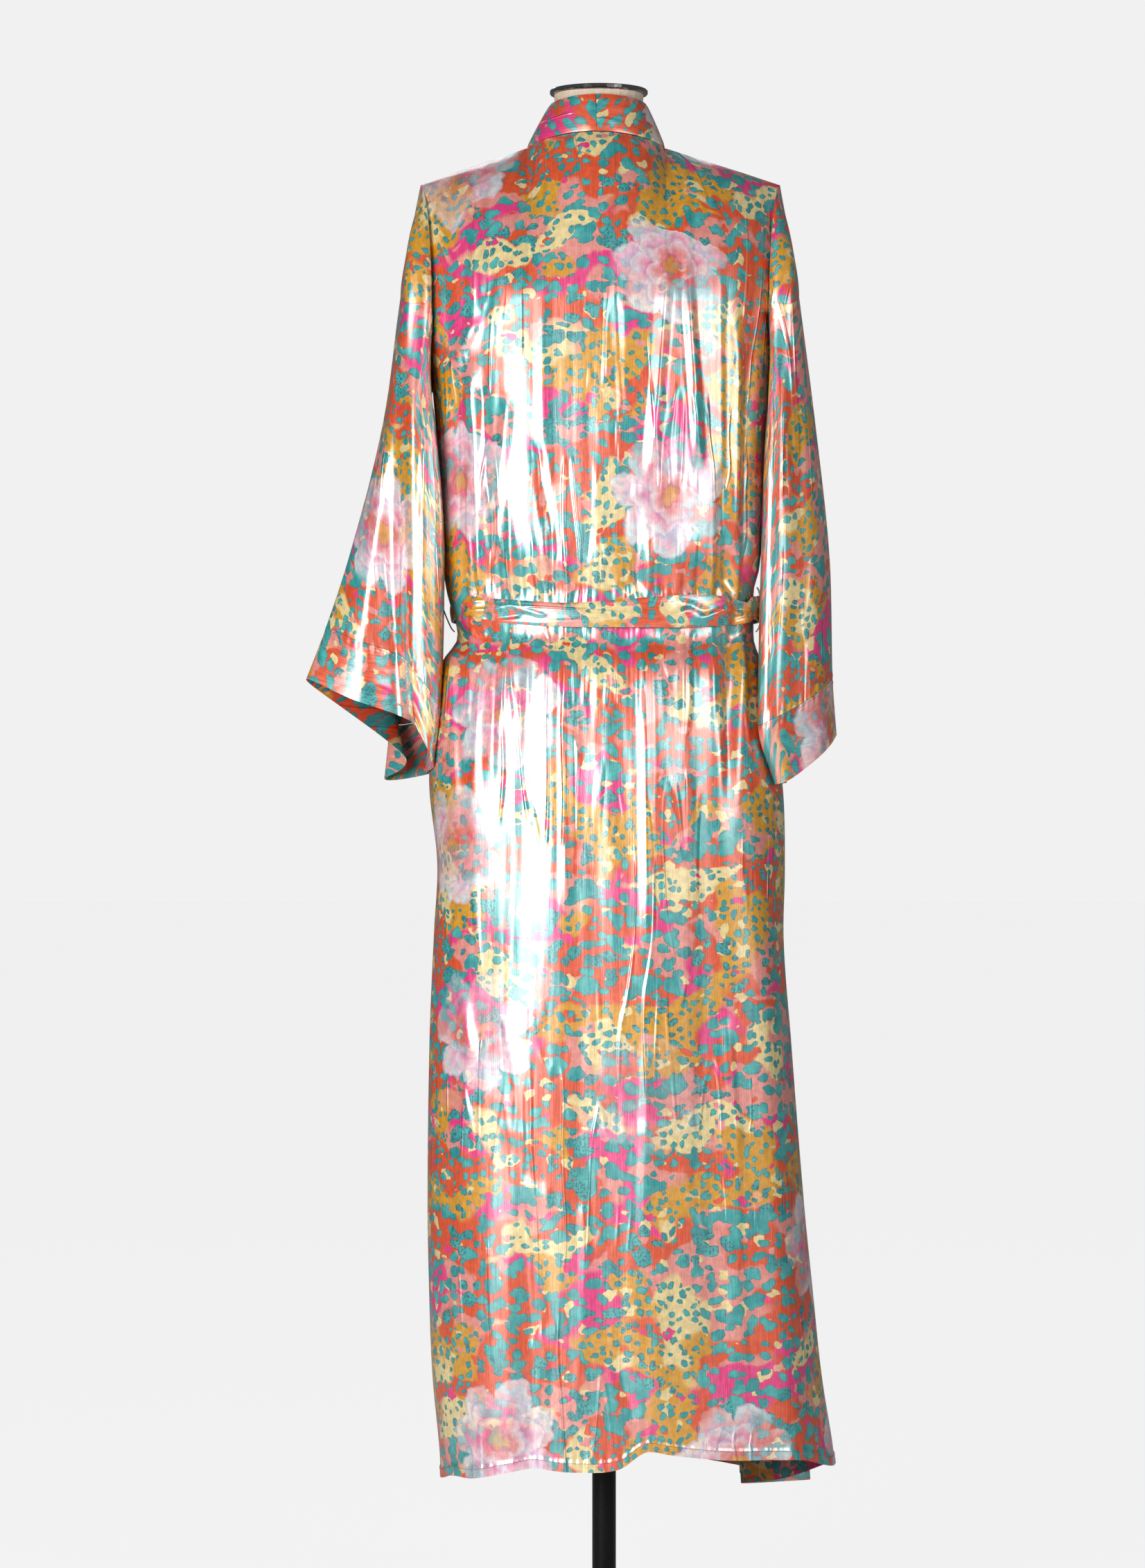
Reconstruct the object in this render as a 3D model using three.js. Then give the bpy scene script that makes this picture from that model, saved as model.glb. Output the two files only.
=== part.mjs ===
// A long belted kimono robe on a dress form that stands on a pole and a round base.
// Millimetres, +Z up. The origin is on the floor at the pole's axis and the robe's front faces -Y,
// so +X is the wearer's left.
import * as THREE from 'three';
import { mergeVertices } from 'three/addons/utils/BufferGeometryUtils.js';

// Cloth
const CLOTH = 1.5;
const SEAM = 0.3;
const MERGE = 1e-3;
const BELT_THICK = 2.5;
const SLEEVE_CLEAR = 6;
const WRAP_LIFT = 6;
const WRAP_RISE = { start: 0.1, width: 0.5 };

// Heights of the robe
const UNDERARM = 1335;
const YOKE_SIDE = 1412;
const YOKE_CENTRE = 1430;
const NECK_SIDE = 1589;
const NECK_BACK = 1598.5;
const COLLAR_TOP_SIDE = 1634;
const COLLAR_TOP_BACK = 1638;

// Neck opening and collar
const NECK = { x: 8.5, halfWidth: 72.5, back: 60, front: 60 };
const COLLAR_TOP = { x: 6, halfWidth: 50.5, back: 54, front: 52 };
const BAND_WIDTH = 50;

// Shoulder seam: from the neck to the tip of the shoulder, then down to the end of the dropped shoulder
const SHOULDER = {
  left: { tip: [193, 1550], end: [211.5, 1447] },
  right: { tip: [185, 1550], end: [203, 1447] },
};

// Section of the robe's body by height: how far it reaches to the left, right, back and front
const BODY = [
  { z: 170, left: 171, right: 247, back: 130, front: 147 },
  { z: 215, left: 172.5, right: 242, back: 128, front: 145 },
  { z: 300, left: 180.5, right: 228.5, back: 125, front: 140 },
  { z: 390, left: 184, right: 219, back: 122, front: 136 },
  { z: 480, left: 185.5, right: 210, back: 120, front: 132 },
  { z: 650, left: 183.5, right: 196.5, back: 119, front: 127 },
  { z: 770, left: 178.5, right: 188.5, back: 119, front: 122 },
  { z: 830, left: 175, right: 190, back: 118, front: 120 },
  { z: 925, left: 184, right: 187, back: 116, front: 117 },
  { z: 1000, left: 174, right: 172, back: 111, front: 114 },
  { z: 1045, left: 165, right: 166, back: 104, front: 110 },
  { z: 1075, left: 151, right: 157, back: 92, front: 102 },
  { z: 1120, left: 151, right: 157, back: 92, front: 103 },
  { z: 1146, left: 162, right: 163, back: 100, front: 112 },
  { z: 1200, left: 169, right: 168, back: 103, front: 122 },
  { z: 1250, left: 172, right: 169, back: 104, front: 128 },
  { z: 1330, left: 180, right: 173, back: 105, front: 126 },
  { z: 1430, left: 190, right: 181, back: 101, front: 112 },
];
const SQUARENESS = 2.4;

// Folds of the body, back and front: where each lies seen from behind, how it leans, where it starts and
// ends, how far it fades out at each end, its half width and its height, below zero for a groove
const BACK_FOLDS = [
  { x: 142, lean: -0.02, top: 1340, bottom: 1120, fadeTop: 90, fadeBottom: 12, width: 11, height: -5 },
  { x: 120, lean: 0.0, top: 1250, bottom: 1120, fadeTop: 70, fadeBottom: 12, width: 12, height: -6 },
  { x: 131, lean: 0.0, top: 1240, bottom: 1120, fadeTop: 70, fadeBottom: 12, width: 9, height: 3 },
  { x: -129, lean: 0.0, top: 1200, bottom: 1120, fadeTop: 60, fadeBottom: 12, width: 12, height: -6 },
  { x: -30, lean: 0.02, top: 1210, bottom: 1120, fadeTop: 70, fadeBottom: 12, width: 14, height: -3 },
  { x: -84, lean: 0.06, top: 1462, bottom: 1230, fadeTop: 60, fadeBottom: 60, width: 9, height: 5 },
  { x: 118, lean: -0.2, top: 1480, bottom: 1360, fadeTop: 40, fadeBottom: 40, width: 12, height: 4 },
  { x: 78, lean: 0.0, top: 1440, bottom: 1120, fadeTop: 120, fadeBottom: 60, width: 44, height: 4 },
  { x: 148, lean: 0.03, top: 1086, bottom: 820, fadeTop: 10, fadeBottom: 190, width: 11, height: -6 },
  { x: 121, lean: 0.03, top: 1086, bottom: 860, fadeTop: 10, fadeBottom: 160, width: 11, height: -5 },
  { x: 84, lean: -0.01, top: 1086, bottom: 420, fadeTop: 60, fadeBottom: 260, width: 42, height: 7 },
  { x: 24, lean: 0.0, top: 1050, bottom: 300, fadeTop: 120, fadeBottom: 260, width: 34, height: -5 },
  { x: -46, lean: 0.0, top: 1070, bottom: 240, fadeTop: 120, fadeBottom: 80, width: 34, height: 5 },
  { x: -100, lean: 0.02, top: 1040, bottom: 240, fadeTop: 120, fadeBottom: 120, width: 30, height: -5 },
  { x: -134, lean: -0.03, top: 1086, bottom: 850, fadeTop: 10, fadeBottom: 160, width: 11, height: -6 },
  { x: -150, lean: 0.06, top: 900, bottom: 200, fadeTop: 200, fadeBottom: 20, width: 36, height: 8 },
  { x: 118, lean: 0.0, top: 620, bottom: 180, fadeTop: 260, fadeBottom: 20, width: 40, height: 6 },
  { x: 74, lean: 0.0, top: 560, bottom: 180, fadeTop: 260, fadeBottom: 20, width: 26, height: -7 },
];
const FRONT_FOLDS = [
  { x: 128, lean: 0.0, top: 1260, bottom: 1120, fadeTop: 80, fadeBottom: 12, width: 14, height: -5 },
  { x: 96, lean: 0.0, top: 1230, bottom: 1120, fadeTop: 70, fadeBottom: 12, width: 13, height: -4 },
  { x: -128, lean: 0.0, top: 1270, bottom: 1120, fadeTop: 80, fadeBottom: 12, width: 14, height: -5 },
  { x: -92, lean: 0.0, top: 1240, bottom: 1120, fadeTop: 70, fadeBottom: 12, width: 13, height: -4 },
  { x: 132, lean: 0.02, top: 1086, bottom: 800, fadeTop: 10, fadeBottom: 180, width: 14, height: -6 },
  { x: 150, lean: -0.03, top: 1010, bottom: 820, fadeTop: 80, fadeBottom: 90, width: 22, height: 5 },
  { x: 104, lean: -0.01, top: 1060, bottom: 190, fadeTop: 120, fadeBottom: 60, width: 34, height: 6 },
  { x: -118, lean: 0.02, top: 1086, bottom: 760, fadeTop: 10, fadeBottom: 200, width: 14, height: -6 },
];
// Share of the depth at which a fold reaches its full height, so that folds die out at the side seams
const FOLD_SIDE = 0.35;

// Hem of the back and the fronts, seen from behind
const BACK_HEM = [
  { x: -243, z: 208 },
  { x: -205, z: 222 },
  { x: -132, z: 225.5 },
  { x: -72, z: 232 },
  { x: -47, z: 236 },
  { x: -14, z: 218 },
  { x: 30, z: 215 },
  { x: 72, z: 217.5 },
  { x: 94, z: 214 },
  { x: 134, z: 204 },
  { x: 158, z: 202 },
  { x: 173, z: 192 },
];
const FRONT_LEFT_HEM = [
  { x: -120, z: 203 },
  { x: 0, z: 199 },
  { x: 120, z: 196 },
  { x: 173, z: 191 },
];

// Front edge of each front at its seam with the band, as the distance to its own side of the middle
const FRONT_EDGE = [
  { z: 170, left: -62, right: -60 },
  { z: 900, left: -20, right: -34 },
  { z: 1095, left: 8, right: -6 },
  { z: 1250, left: 38, right: 24 },
  { z: 1430, left: 62, right: 48 },
];

// The right front is folded in and out again beside its side seam: its line at the hem, from the side seam
// at share 0 to the front edge at share 1, and how low it hangs
const FLAP = [
  { share: 0, x: -243, y: 0, hem: 207 },
  { share: 0.1, x: -192, y: -36, hem: 184 },
  { share: 0.2, x: -147, y: -70, hem: 173.5 },
  { share: 0.31, x: -186, y: -90, hem: 172 },
  { share: 0.42, x: -222, y: -106, hem: 172 },
  { share: 0.56, x: -182, y: -130, hem: 176 },
  { share: 0.72, x: -112, y: -132, hem: 186 },
  { share: 1, x: 60, y: -132, hem: 197 },
];
const FLAP_BLEND = { top: 960, bottom: 170, end: 0.56, fade: 0.3 };

// Rows of the body panels up to the underarm
const BODY_ROWS = [300, 390, 480, 570, 660, 750, 830, 890, 950, 1005, 1048, 1075, 1098, 1121, 1144, 1178, 1220,
  1270, UNDERARM];
const ARMHOLE_ROWS = 2;
const YOKE_ROWS = 6;
const SHOULDER_COLUMNS = 8;
const NECK_COLUMNS = 10;
const FRONT_COLUMNS = 12;
const SIDE_ANGLE = 90;
const GROOVE_ANGLE = 68;
const NECK_ANGLE = { left: 24, right: -20 };
const ROUND_SHOULDER = 1;
const ROUND_NECK = 0.45;

// Sleeves: stations round the tube, in order from the outer edge over the back to the inner edge and the
// front. Each gives x and y at the dropped shoulder, the upper arm, the elbow, the wrist and the hem, and as z
// the heights of the shoulder seam, the cuff's seam and the hem
const ARM_HEIGHTS = { upper: 1300, elbow: 1160 };
const SLEEVES = {
  left: [
    { x: [214, 232, 267, 292, 312], y: [0, 2, 5, 8, 10], z: [1432, 1081, 1028] },
    { x: [210, 225, 246, 256, 262], y: [40, 42, 44, 44, 42], z: [1425, 1069, 1008] },
    { x: [203, 213, 218, 216, 213], y: [58, 56, 46, 36, 34], z: [1419, 1056, 991] },
    { x: [179.5, 196, 196, 199, 196], y: [52, 72, 74, 64, 57], z: [1412, 1040, 979] },
    { x: [186.5, 177, 167, 171, 177], y: [0, 52, 56, 52, 48], z: [1336, 1000, 938] },
    { x: [181.5, 186, 180, 182, 188], y: [-54, -40, -40, -44, -46], z: [1398, 990, 930] },
    { x: [200, 206, 214, 226, 233], y: [-60, -60, -56, -50, -44], z: [1414, 984, 925] },
    { x: [210, 224, 240, 226, 213], y: [-40, -40, -36, -24, -14], z: [1424, 1012, 951] },
  ],
  right: [
    { x: [205, 222, 237, 240, 244], y: [0, 0, 2, 6, 8], z: [1432, 1030, 971] },
    { x: [201, 213, 224, 226, 228], y: [40, 44, 46, 48, 46], z: [1425, 1018, 952] },
    { x: [193, 198, 204, 200, 202], y: [58, 60, 62, 68, 62], z: [1419, 1001, 931] },
    { x: [171.5, 181, 179, 175, 187], y: [52, 73, 76, 82, 70], z: [1412, 988, 922] },
    { x: [179.5, 169, 163, 159, 176], y: [0, 52, 58, 66, 52], z: [1336, 980, 920] },
    { x: [173, 177, 174, 176, 183], y: [-54, -40, -38, -20, -18], z: [1398, 982, 925] },
    { x: [191, 197, 202, 206, 209], y: [-60, -60, -54, -46, -40], z: [1414, 1000, 944] },
    { x: [201, 214, 230, 234, 236], y: [-40, -40, -34, -28, -24], z: [1424, 1020, 962] },
  ],
};
const STEPS_PER_STATION = 2;
const SLEEVE_ROWS = 11;
const CUFF_ROWS = 3;
const CUFF_GAP = 0.016;
const OUTER = 0;
const BACK_RIDGE = 3;
const FRONT_RIDGE = 6;
const STATIONS = 8;

// Belt
const BELT = { height: 28, lift: 3, back: 1094, side: 1104, front: 1096, columns: 44, rows: 2 };
const BELT_RISE = { start: 20, fade: 70 };
const KNOT = { x: -8, width: 46, height: 40, depth: 22, z: 1096, sides: 16, rings: 12 };
const TAILS = {
  left: { x: 8, end: 650 },
  right: { x: -24, end: 600 },
  width: 30,
  rows: 12,
  spread: 1.5,
  lift: 14,
  knotLift: 26,
  settle: 130,
};
const LOOP = { width: 5, thick: 1.2, angle: 97, reach: 24, root: 4.2, bow: 2, rows: 6 };

// Dress form, cap, pole and base
const FORM = [
  { z: 780, x: 0, halfWidth: 150, back: 92, front: 88 },
  { z: 800, x: 0, halfWidth: 160, back: 100, front: 95 },
  { z: 900, x: 0, halfWidth: 165, back: 106, front: 102 },
  { z: 1000, x: 0, halfWidth: 152, back: 96, front: 96 },
  { z: 1100, x: 0, halfWidth: 126, back: 80, front: 86 },
  { z: 1200, x: 1, halfWidth: 140, back: 86, front: 100 },
  { z: 1320, x: 2, halfWidth: 154, back: 90, front: 114 },
  { z: 1430, x: 3, halfWidth: 164, back: 90, front: 98 },
  { z: 1485, x: 3, halfWidth: 164, back: 76, front: 76 },
  { z: 1520, x: 4, halfWidth: 156, back: 62, front: 58 },
  { z: 1543, x: 4, halfWidth: 132, back: 49, front: 46 },
  { z: 1557, x: 5, halfWidth: 96, back: 43, front: 42 },
  { z: 1570, x: 5, halfWidth: 70, back: 45, front: 42 },
  { z: 1590, x: 5.5, halfWidth: 50, back: 44, front: 43 },
  { z: 1614, x: 5.5, halfWidth: 45, back: 45, front: 44 },
  { z: 1644.5, x: 5.5, halfWidth: 47, back: 47, front: 47 },
];
const FORM_COLUMNS = 28;
const FORM_SQUARENESS = 2.15;
const CAP = {
  x: 5.5, radius: 51.5, bottom: 1644.8, rim: 5, edge: 1, shoulder: 0.6, rise: 0.7, dome: 4, sides: 40,
};
const POLE = { radius: 12.5, bottom: 40.3, top: 779.7, sides: 32 };
const BASE = {
  radius: 170, plate: 9, edge: 3, bossRadius: 24, bossTop: 40, bossFoot: 6, bossEdge: 2, sides: 48,
};

const satin = { color: 0xd98a8f, roughness: 0.32, metalness: 0.35, side: THREE.DoubleSide };
const MATERIALS = {
  panel: new THREE.MeshStandardMaterial(satin),
  sleeve: new THREE.MeshStandardMaterial({ ...satin, color: 0xe0a15c }),
  band: new THREE.MeshStandardMaterial({ ...satin, color: 0x4fb0ad }),
  belt: new THREE.MeshStandardMaterial({ ...satin, color: 0xe46aa0 }),
  linen: new THREE.MeshStandardMaterial({ color: 0xcfb9a2, roughness: 0.9, metalness: 0 }),
  chrome: new THREE.MeshStandardMaterial({ color: 0xb8b8bb, roughness: 0.12, metalness: 1 }),
  black: new THREE.MeshStandardMaterial({ color: 0x101010, roughness: 0.45, metalness: 0.4 }),
};

const robe = new THREE.Group();

// Value of a table's column, on a smooth curve through the rows that never swings past them
function curveAt(table, key, column, value) {
  const last = table.length - 1;
  if (value <= table[0][key]) return table[0][column];
  if (value >= table[last][key]) return table[last][column];
  let k = 0;
  while (table[k + 1][key] < value) k += 1;
  const slope = (row) => {
    const [a, b] = [Math.max(row - 1, 0), Math.min(row + 1, last)];
    const turns = (table[b][column] - table[row][column]) * (table[row][column] - table[a][column]) <= 0;
    if (turns && a < row && row < b) return 0;
    return (table[b][column] - table[a][column]) / (table[b][key] - table[a][key]);
  };
  const span = table[k + 1][key] - table[k][key];
  const t = (value - table[k][key]) / span;
  const start = slope(k) * span;
  const end = slope(k + 1) * span;
  const rise = t * t * (3 - 2 * t);
  return table[k][column] * (1 - rise) + table[k + 1][column] * rise
    + start * t * (1 - t) * (1 - t) - end * t * t * (1 - t);
}

function mix(a, b, share) {
  return a + (b - a) * share;
}

// Rises smoothly from 0 to 1 as the share goes from 0 to 1, and stays there
function ease(share) {
  const t = Math.min(Math.max(share, 0), 1);
  return t * t * (3 - 2 * t);
}

function radians(degrees) {
  return THREE.MathUtils.degToRad(degrees);
}

// Point of a rounded unit section: angle 0 is the back, 90 the left, 180 the front and 270 the right
function unitSection(angle, squareness) {
  const x = Math.sin(radians(angle));
  const y = Math.cos(radians(angle));
  const size = (Math.abs(x) ** squareness + Math.abs(y) ** squareness) ** (1 / squareness);
  return { x: x / size, y: y / size };
}

// Angle of the front point of the body at a given x
function frontAngle(x, z) {
  const unitX = x / curveAt(BODY, 'z', x > 0 ? 'left' : 'right', z);
  const unitY = (1 - Math.abs(unitX) ** SQUARENESS) ** (1 / SQUARENESS);
  const angle = THREE.MathUtils.radToDeg(Math.atan2(unitX, -unitY));
  return angle < 0 ? angle + 360 : angle;
}

// Height of all the folds together at a place
function relief(folds, x, z) {
  let height = 0;
  for (const fold of folds) {
    const across = (x - fold.x - fold.lean * (z - fold.top)) / fold.width;
    if (Math.abs(across) >= 1 || z >= fold.top || z <= fold.bottom) continue;
    const fade = ease((fold.top - z) / fold.fadeTop) * ease((z - fold.bottom) / fold.fadeBottom);
    height += fold.height * fade * (0.5 + 0.5 * Math.cos(Math.PI * across));
  }
  return height;
}

// Point of the robe's body at an angle and a height, moved out by the folds and by the lift
function bodyPoint(angle, z, lift = 0) {
  const unit = unitSection(angle, SQUARENESS);
  const width = curveAt(BODY, 'z', unit.x > 0 ? 'left' : 'right', z);
  const depth = curveAt(BODY, 'z', unit.y > 0 ? 'back' : 'front', z);
  const x = width * unit.x;
  const y = depth * unit.y;
  const folds = relief(unit.y > 0 ? BACK_FOLDS : FRONT_FOLDS, x, z) * ease(Math.abs(unit.y) / FOLD_SIDE);
  const normalX = Math.sign(unit.x) * Math.abs(unit.x) ** (SQUARENESS - 1) / width;
  const normalY = Math.sign(unit.y) * Math.abs(unit.y) ** (SQUARENESS - 1) / depth;
  const out = (lift + folds) / Math.hypot(normalX, normalY);
  return new THREE.Vector3(x + normalX * out, y + normalY * out, z);
}

// Closed wall of cloth from a grid of outer points. side is 1 where the columns run so that the outer face
// looks out, and -1 where they run the other way. Cells that are missing open the wall, cells that belong to
// the piece sewn on beside it only help to set the wall's direction at the seam, and keep holds every point
// on its own side of a seam
function clothWall({
  columns, rows, point, side = 1, thick = CLOTH, closed = false, missing = () => false, beside = () => false,
  keep = () => {},
}) {
  const across = closed ? columns : columns + 1;
  const outer = [];
  for (let j = 0; j <= rows; j += 1) {
    for (let i = 0; i < across; i += 1) outer.push(point(i, j));
  }
  const index = (i, j) => j * across + (closed ? (i + columns) % columns : i);
  const present = (i, j) => {
    if (j < 0 || j >= rows) return false;
    if (!closed && (i < 0 || i >= columns)) return false;
    const column = closed ? (i + columns) % columns : i;
    return !missing(column, j) && !beside(column, j);
  };
  const normals = outer.map(() => new THREE.Vector3());
  const edgeA = new THREE.Vector3();
  const edgeB = new THREE.Vector3();
  for (let j = 0; j < rows; j += 1) {
    for (let i = 0; i < columns; i += 1) {
      if (missing(i, j)) continue;
      const corners = [index(i, j), index(i + 1, j), index(i + 1, j + 1), index(i, j + 1)];
      edgeA.subVectors(outer[corners[2]], outer[corners[0]]);
      edgeB.subVectors(outer[corners[3]], outer[corners[1]]);
      const normal = edgeA.cross(edgeB).normalize().multiplyScalar(side);
      corners.forEach((corner) => normals[corner].add(normal));
    }
  }
  const inner = outer.map((p, k) => p.clone().addScaledVector(normals[k].normalize(), -thick));
  outer.forEach(keep);
  inner.forEach(keep);
  const positions = [];
  const triangle = (a, b, c) => {
    const order = side > 0 ? [a, b, c] : [a, c, b];
    order.forEach((p) => positions.push(p.x, p.y, p.z));
  };
  const quad = (a, b, c, d) => {
    triangle(a, b, c);
    triangle(a, c, d);
  };
  for (let j = 0; j < rows; j += 1) {
    for (let i = 0; i < columns; i += 1) {
      if (!present(i, j)) continue;
      const [a, b, c, d] = [index(i, j), index(i + 1, j), index(i + 1, j + 1), index(i, j + 1)];
      quad(outer[a], outer[b], outer[c], outer[d]);
      quad(inner[a], inner[d], inner[c], inner[b]);
      if (!present(i, j - 1)) quad(outer[b], outer[a], inner[a], inner[b]);
      if (!present(i + 1, j)) quad(outer[c], outer[b], inner[b], inner[c]);
      if (!present(i, j + 1)) quad(outer[d], outer[c], inner[c], inner[d]);
      if (!present(i - 1, j)) quad(outer[a], outer[d], inner[d], inner[a]);
    }
  }
  const geometry = new THREE.BufferGeometry();
  geometry.setAttribute('position', new THREE.Float32BufferAttribute(positions, 3));
  const merged = mergeVertices(geometry, MERGE);
  merged.computeVertexNormals();
  return merged;
}

function addPiece(name, geometry, material) {
  const mesh = new THREE.Mesh(geometry, material);
  mesh.name = name;
  robe.add(mesh);
}

// Shoulder seam's height over a distance from the middle
function shoulderHeight(x) {
  const tip = x > 0 ? SHOULDER.left.tip : SHOULDER.right.tip;
  const start = x > 0 ? NECK.x + NECK.halfWidth : NECK.halfWidth - NECK.x;
  return mix(NECK_SIDE, tip[1], (Math.abs(x) - start) / (tip[0] - start));
}

// Point of the neckline: turn 0 is the centre back, 90 the left side of the neck, 180 the centre front
function neckline(turn) {
  const y = Math.cos(radians(turn));
  const rise = y > 0 ? y * y * (NECK_BACK - NECK_SIDE) : 0;
  return new THREE.Vector3(
    NECK.x + NECK.halfWidth * Math.sin(radians(turn)),
    y * (y > 0 ? NECK.back : NECK.front),
    NECK_SIDE + rise,
  );
}

// Top edge of the standing collar at the same turn
function collarTop(turn) {
  const y = Math.cos(radians(turn));
  const rise = y > 0 ? y * y * (COLLAR_TOP_BACK - COLLAR_TOP_SIDE) : 0;
  return new THREE.Vector3(
    COLLAR_TOP.x + COLLAR_TOP.halfWidth * Math.sin(radians(turn)),
    y * (y > 0 ? COLLAR_TOP.back : COLLAR_TOP.front),
    COLLAR_TOP_SIDE + rise,
  );
}

// Curve over the shoulder from a point of the body up to a point of the shoulder or neck seam
function overShoulder(base, top, roundness, share) {
  const turn = share * Math.PI / 2;
  const level = mix(share, 1 - Math.cos(turn), roundness);
  const height = mix(share, Math.sin(turn), roundness);
  return new THREE.Vector3(mix(base.x, top.x, level), mix(base.y, top.y, level), mix(base.z, top.z, height));
}

// Section of a sleeve: a closed smooth curve through its stations, each placed at its own height between the
// shoulder seam at along 0, the cuff's seam at 1 and the hem at 2
function sleevePoint(side, step, along) {
  const table = SLEEVES[side];
  const station = (k) => {
    const row = table[(k + STATIONS) % STATIONS];
    const [top, seam, low] = row.z;
    const z = along < 1 ? mix(top, seam, along) : mix(seam, low, along - 1);
    const heights = [top, ARM_HEIGHTS.upper, ARM_HEIGHTS.elbow, seam, low];
    const stops = heights.map((height, n) => ({ z: height, x: row.x[n], y: row.y[n] })).reverse();
    return new THREE.Vector3(curveAt(stops, 'z', 'x', z), curveAt(stops, 'z', 'y', z), z);
  };
  const k = Math.floor(step / STEPS_PER_STATION);
  const t = step / STEPS_PER_STATION - k;
  const [a, b, c, d] = [station(k - 1), station(k), station(k + 1), station(k + 2)];
  const curve = (axis) => {
    const [p, q, r, s] = [a[axis], b[axis], c[axis], d[axis]];
    return q + 0.5 * t * (r - p + t * (2 * p - 5 * q + 4 * r - s + t * (3 * (q - r) + s - p)));
  };
  const place = new THREE.Vector3(curve('x'), curve('y'), curve('z'));
  place.x *= side === 'left' ? 1 : -1;
  return clearOfBody(place);
}

// Moves a point of a sleeve out of the body, level with itself
function clearOfBody(place) {
  const width = curveAt(BODY, 'z', place.x > 0 ? 'left' : 'right', place.z) + SLEEVE_CLEAR;
  const depth = curveAt(BODY, 'z', place.y > 0 ? 'back' : 'front', place.z) + SLEEVE_CLEAR;
  const size = (Math.abs(place.x / width) ** SQUARENESS + Math.abs(place.y / depth) ** SQUARENESS)
    ** (1 / SQUARENESS);
  if (size < 1 && place.z < UNDERARM) {
    place.x /= size;
    place.y /= size;
  }
  return place;
}

// Columns of a dropped shoulder, from the groove beside the body to the outer edge: where each starts on the
// sleeve's seam and where it ends on the shoulder seam. face is 1 for the back and -1 for the front
function droppedColumns(side, face) {
  const sign = side === 'left' ? 1 : -1;
  const first = (face > 0 ? BACK_RIDGE : STATIONS - FRONT_RIDGE) * STEPS_PER_STATION;
  const { tip, end } = SHOULDER[side];
  const found = [];
  for (let step = first; step >= 0; step -= 1) {
    const base = sleevePoint(side, face > 0 ? step : STATIONS * STEPS_PER_STATION - step, 0);
    base.z += SEAM;
    if (step === OUTER) base.y = face * SEAM / 2;
    const share = (first - step + 1) / (first + 1);
    const x = sign * mix(tip[0], end[0], share);
    const top = new THREE.Vector3(x, face * SEAM / 2, mix(tip[1], end[1], share));
    found.push({ base, top, round: ROUND_SHOULDER });
  }
  return found;
}

// Angle at which the body panel ends at a height: the side seam, then the armhole above the underarm
function sideAngle(z) {
  return mix(SIDE_ANGLE, GROOVE_ANGLE, ease((z - UNDERARM) / (YOKE_SIDE - UNDERARM)));
}

// Height of a body row: the hem, the listed rows, then the armhole rows up to the yoke
function rowHeight(row, hem, yoke) {
  if (row === 0) return hem;
  if (row <= BODY_ROWS.length) return BODY_ROWS[row - 1];
  return mix(UNDERARM, yoke, (row - BODY_ROWS.length) / ARMHOLE_ROWS);
}

const LAST_BODY_ROW = BODY_ROWS.length + ARMHOLE_ROWS;
const PANEL_ROWS = LAST_BODY_ROW + YOKE_ROWS;

// Half angle that a seam's gap takes at the side of the body
const SEAM_ANGLE = THREE.MathUtils.radToDeg(Math.atan(SEAM / 2 / BODY[0].back));

// Back: its columns run from the left side seam over the neck to the right one
function backColumns() {
  const columns = [];
  const shoulder = (side) => {
    const sign = side === 'left' ? 1 : -1;
    const neckSide = side === 'left' ? NECK.x + NECK.halfWidth : NECK.halfWidth - NECK.x;
    for (let k = 0; k < SHOULDER_COLUMNS; k += 1) {
      const share = k / SHOULDER_COLUMNS;
      const x = sign * mix(SHOULDER[side].tip[0], neckSide, share);
      columns.push({
        angle: (z) => mix(sign * (sideAngle(z) - SEAM_ANGLE), NECK_ANGLE[side], share),
        yoke: mix(YOKE_SIDE, YOKE_CENTRE, ease(share)),
        top: new THREE.Vector3(x, SEAM / 2, shoulderHeight(x)),
        round: mix(ROUND_SHOULDER, ROUND_NECK, share ** 3),
      });
    }
  };
  shoulder('left');
  for (let k = 0; k <= NECK_COLUMNS; k += 1) {
    const share = k / NECK_COLUMNS;
    const top = neckline(mix(90, -90, share));
    top.y = Math.max(top.y, SEAM / 2);
    columns.push({
      angle: () => mix(NECK_ANGLE.left, NECK_ANGLE.right, share),
      yoke: YOKE_CENTRE,
      top,
      round: ROUND_NECK,
    });
  }
  const leftHalf = columns.length;
  shoulder('right');
  return columns.slice(0, leftHalf).concat(columns.slice(leftHalf).reverse());
}

function buildBack() {
  const body = backColumns();
  const left = droppedColumns('left', 1).reverse();
  const right = droppedColumns('right', 1);
  const all = [...left, ...body, ...right];
  const point = (i, j) => {
    const column = all[i];
    if (j > LAST_BODY_ROW || column.base) {
      const yokeBase = column.base ?? bodyPoint(column.angle(column.yoke), column.yoke);
      const share = Math.max(j - LAST_BODY_ROW, 0) / YOKE_ROWS;
      return overShoulder(yokeBase, column.top, column.round, share);
    }
    const guess = bodyPoint(column.angle(BODY[0].z), BODY[0].z);
    const z = rowHeight(j, curveAt(BACK_HEM, 'x', 'z', guess.x), column.yoke);
    return bodyPoint(column.angle(z), z);
  };
  const missing = (i, j) => j < LAST_BODY_ROW && (i < left.length || i >= left.length + body.length - 1);
  const keep = (p) => {
    p.y = Math.max(p.y, SEAM / 2);
  };
  addPiece('back', clothWall({ columns: all.length - 1, rows: PANEL_ROWS, point, side: -1, missing, keep }),
    MATERIALS.panel);
}

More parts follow.
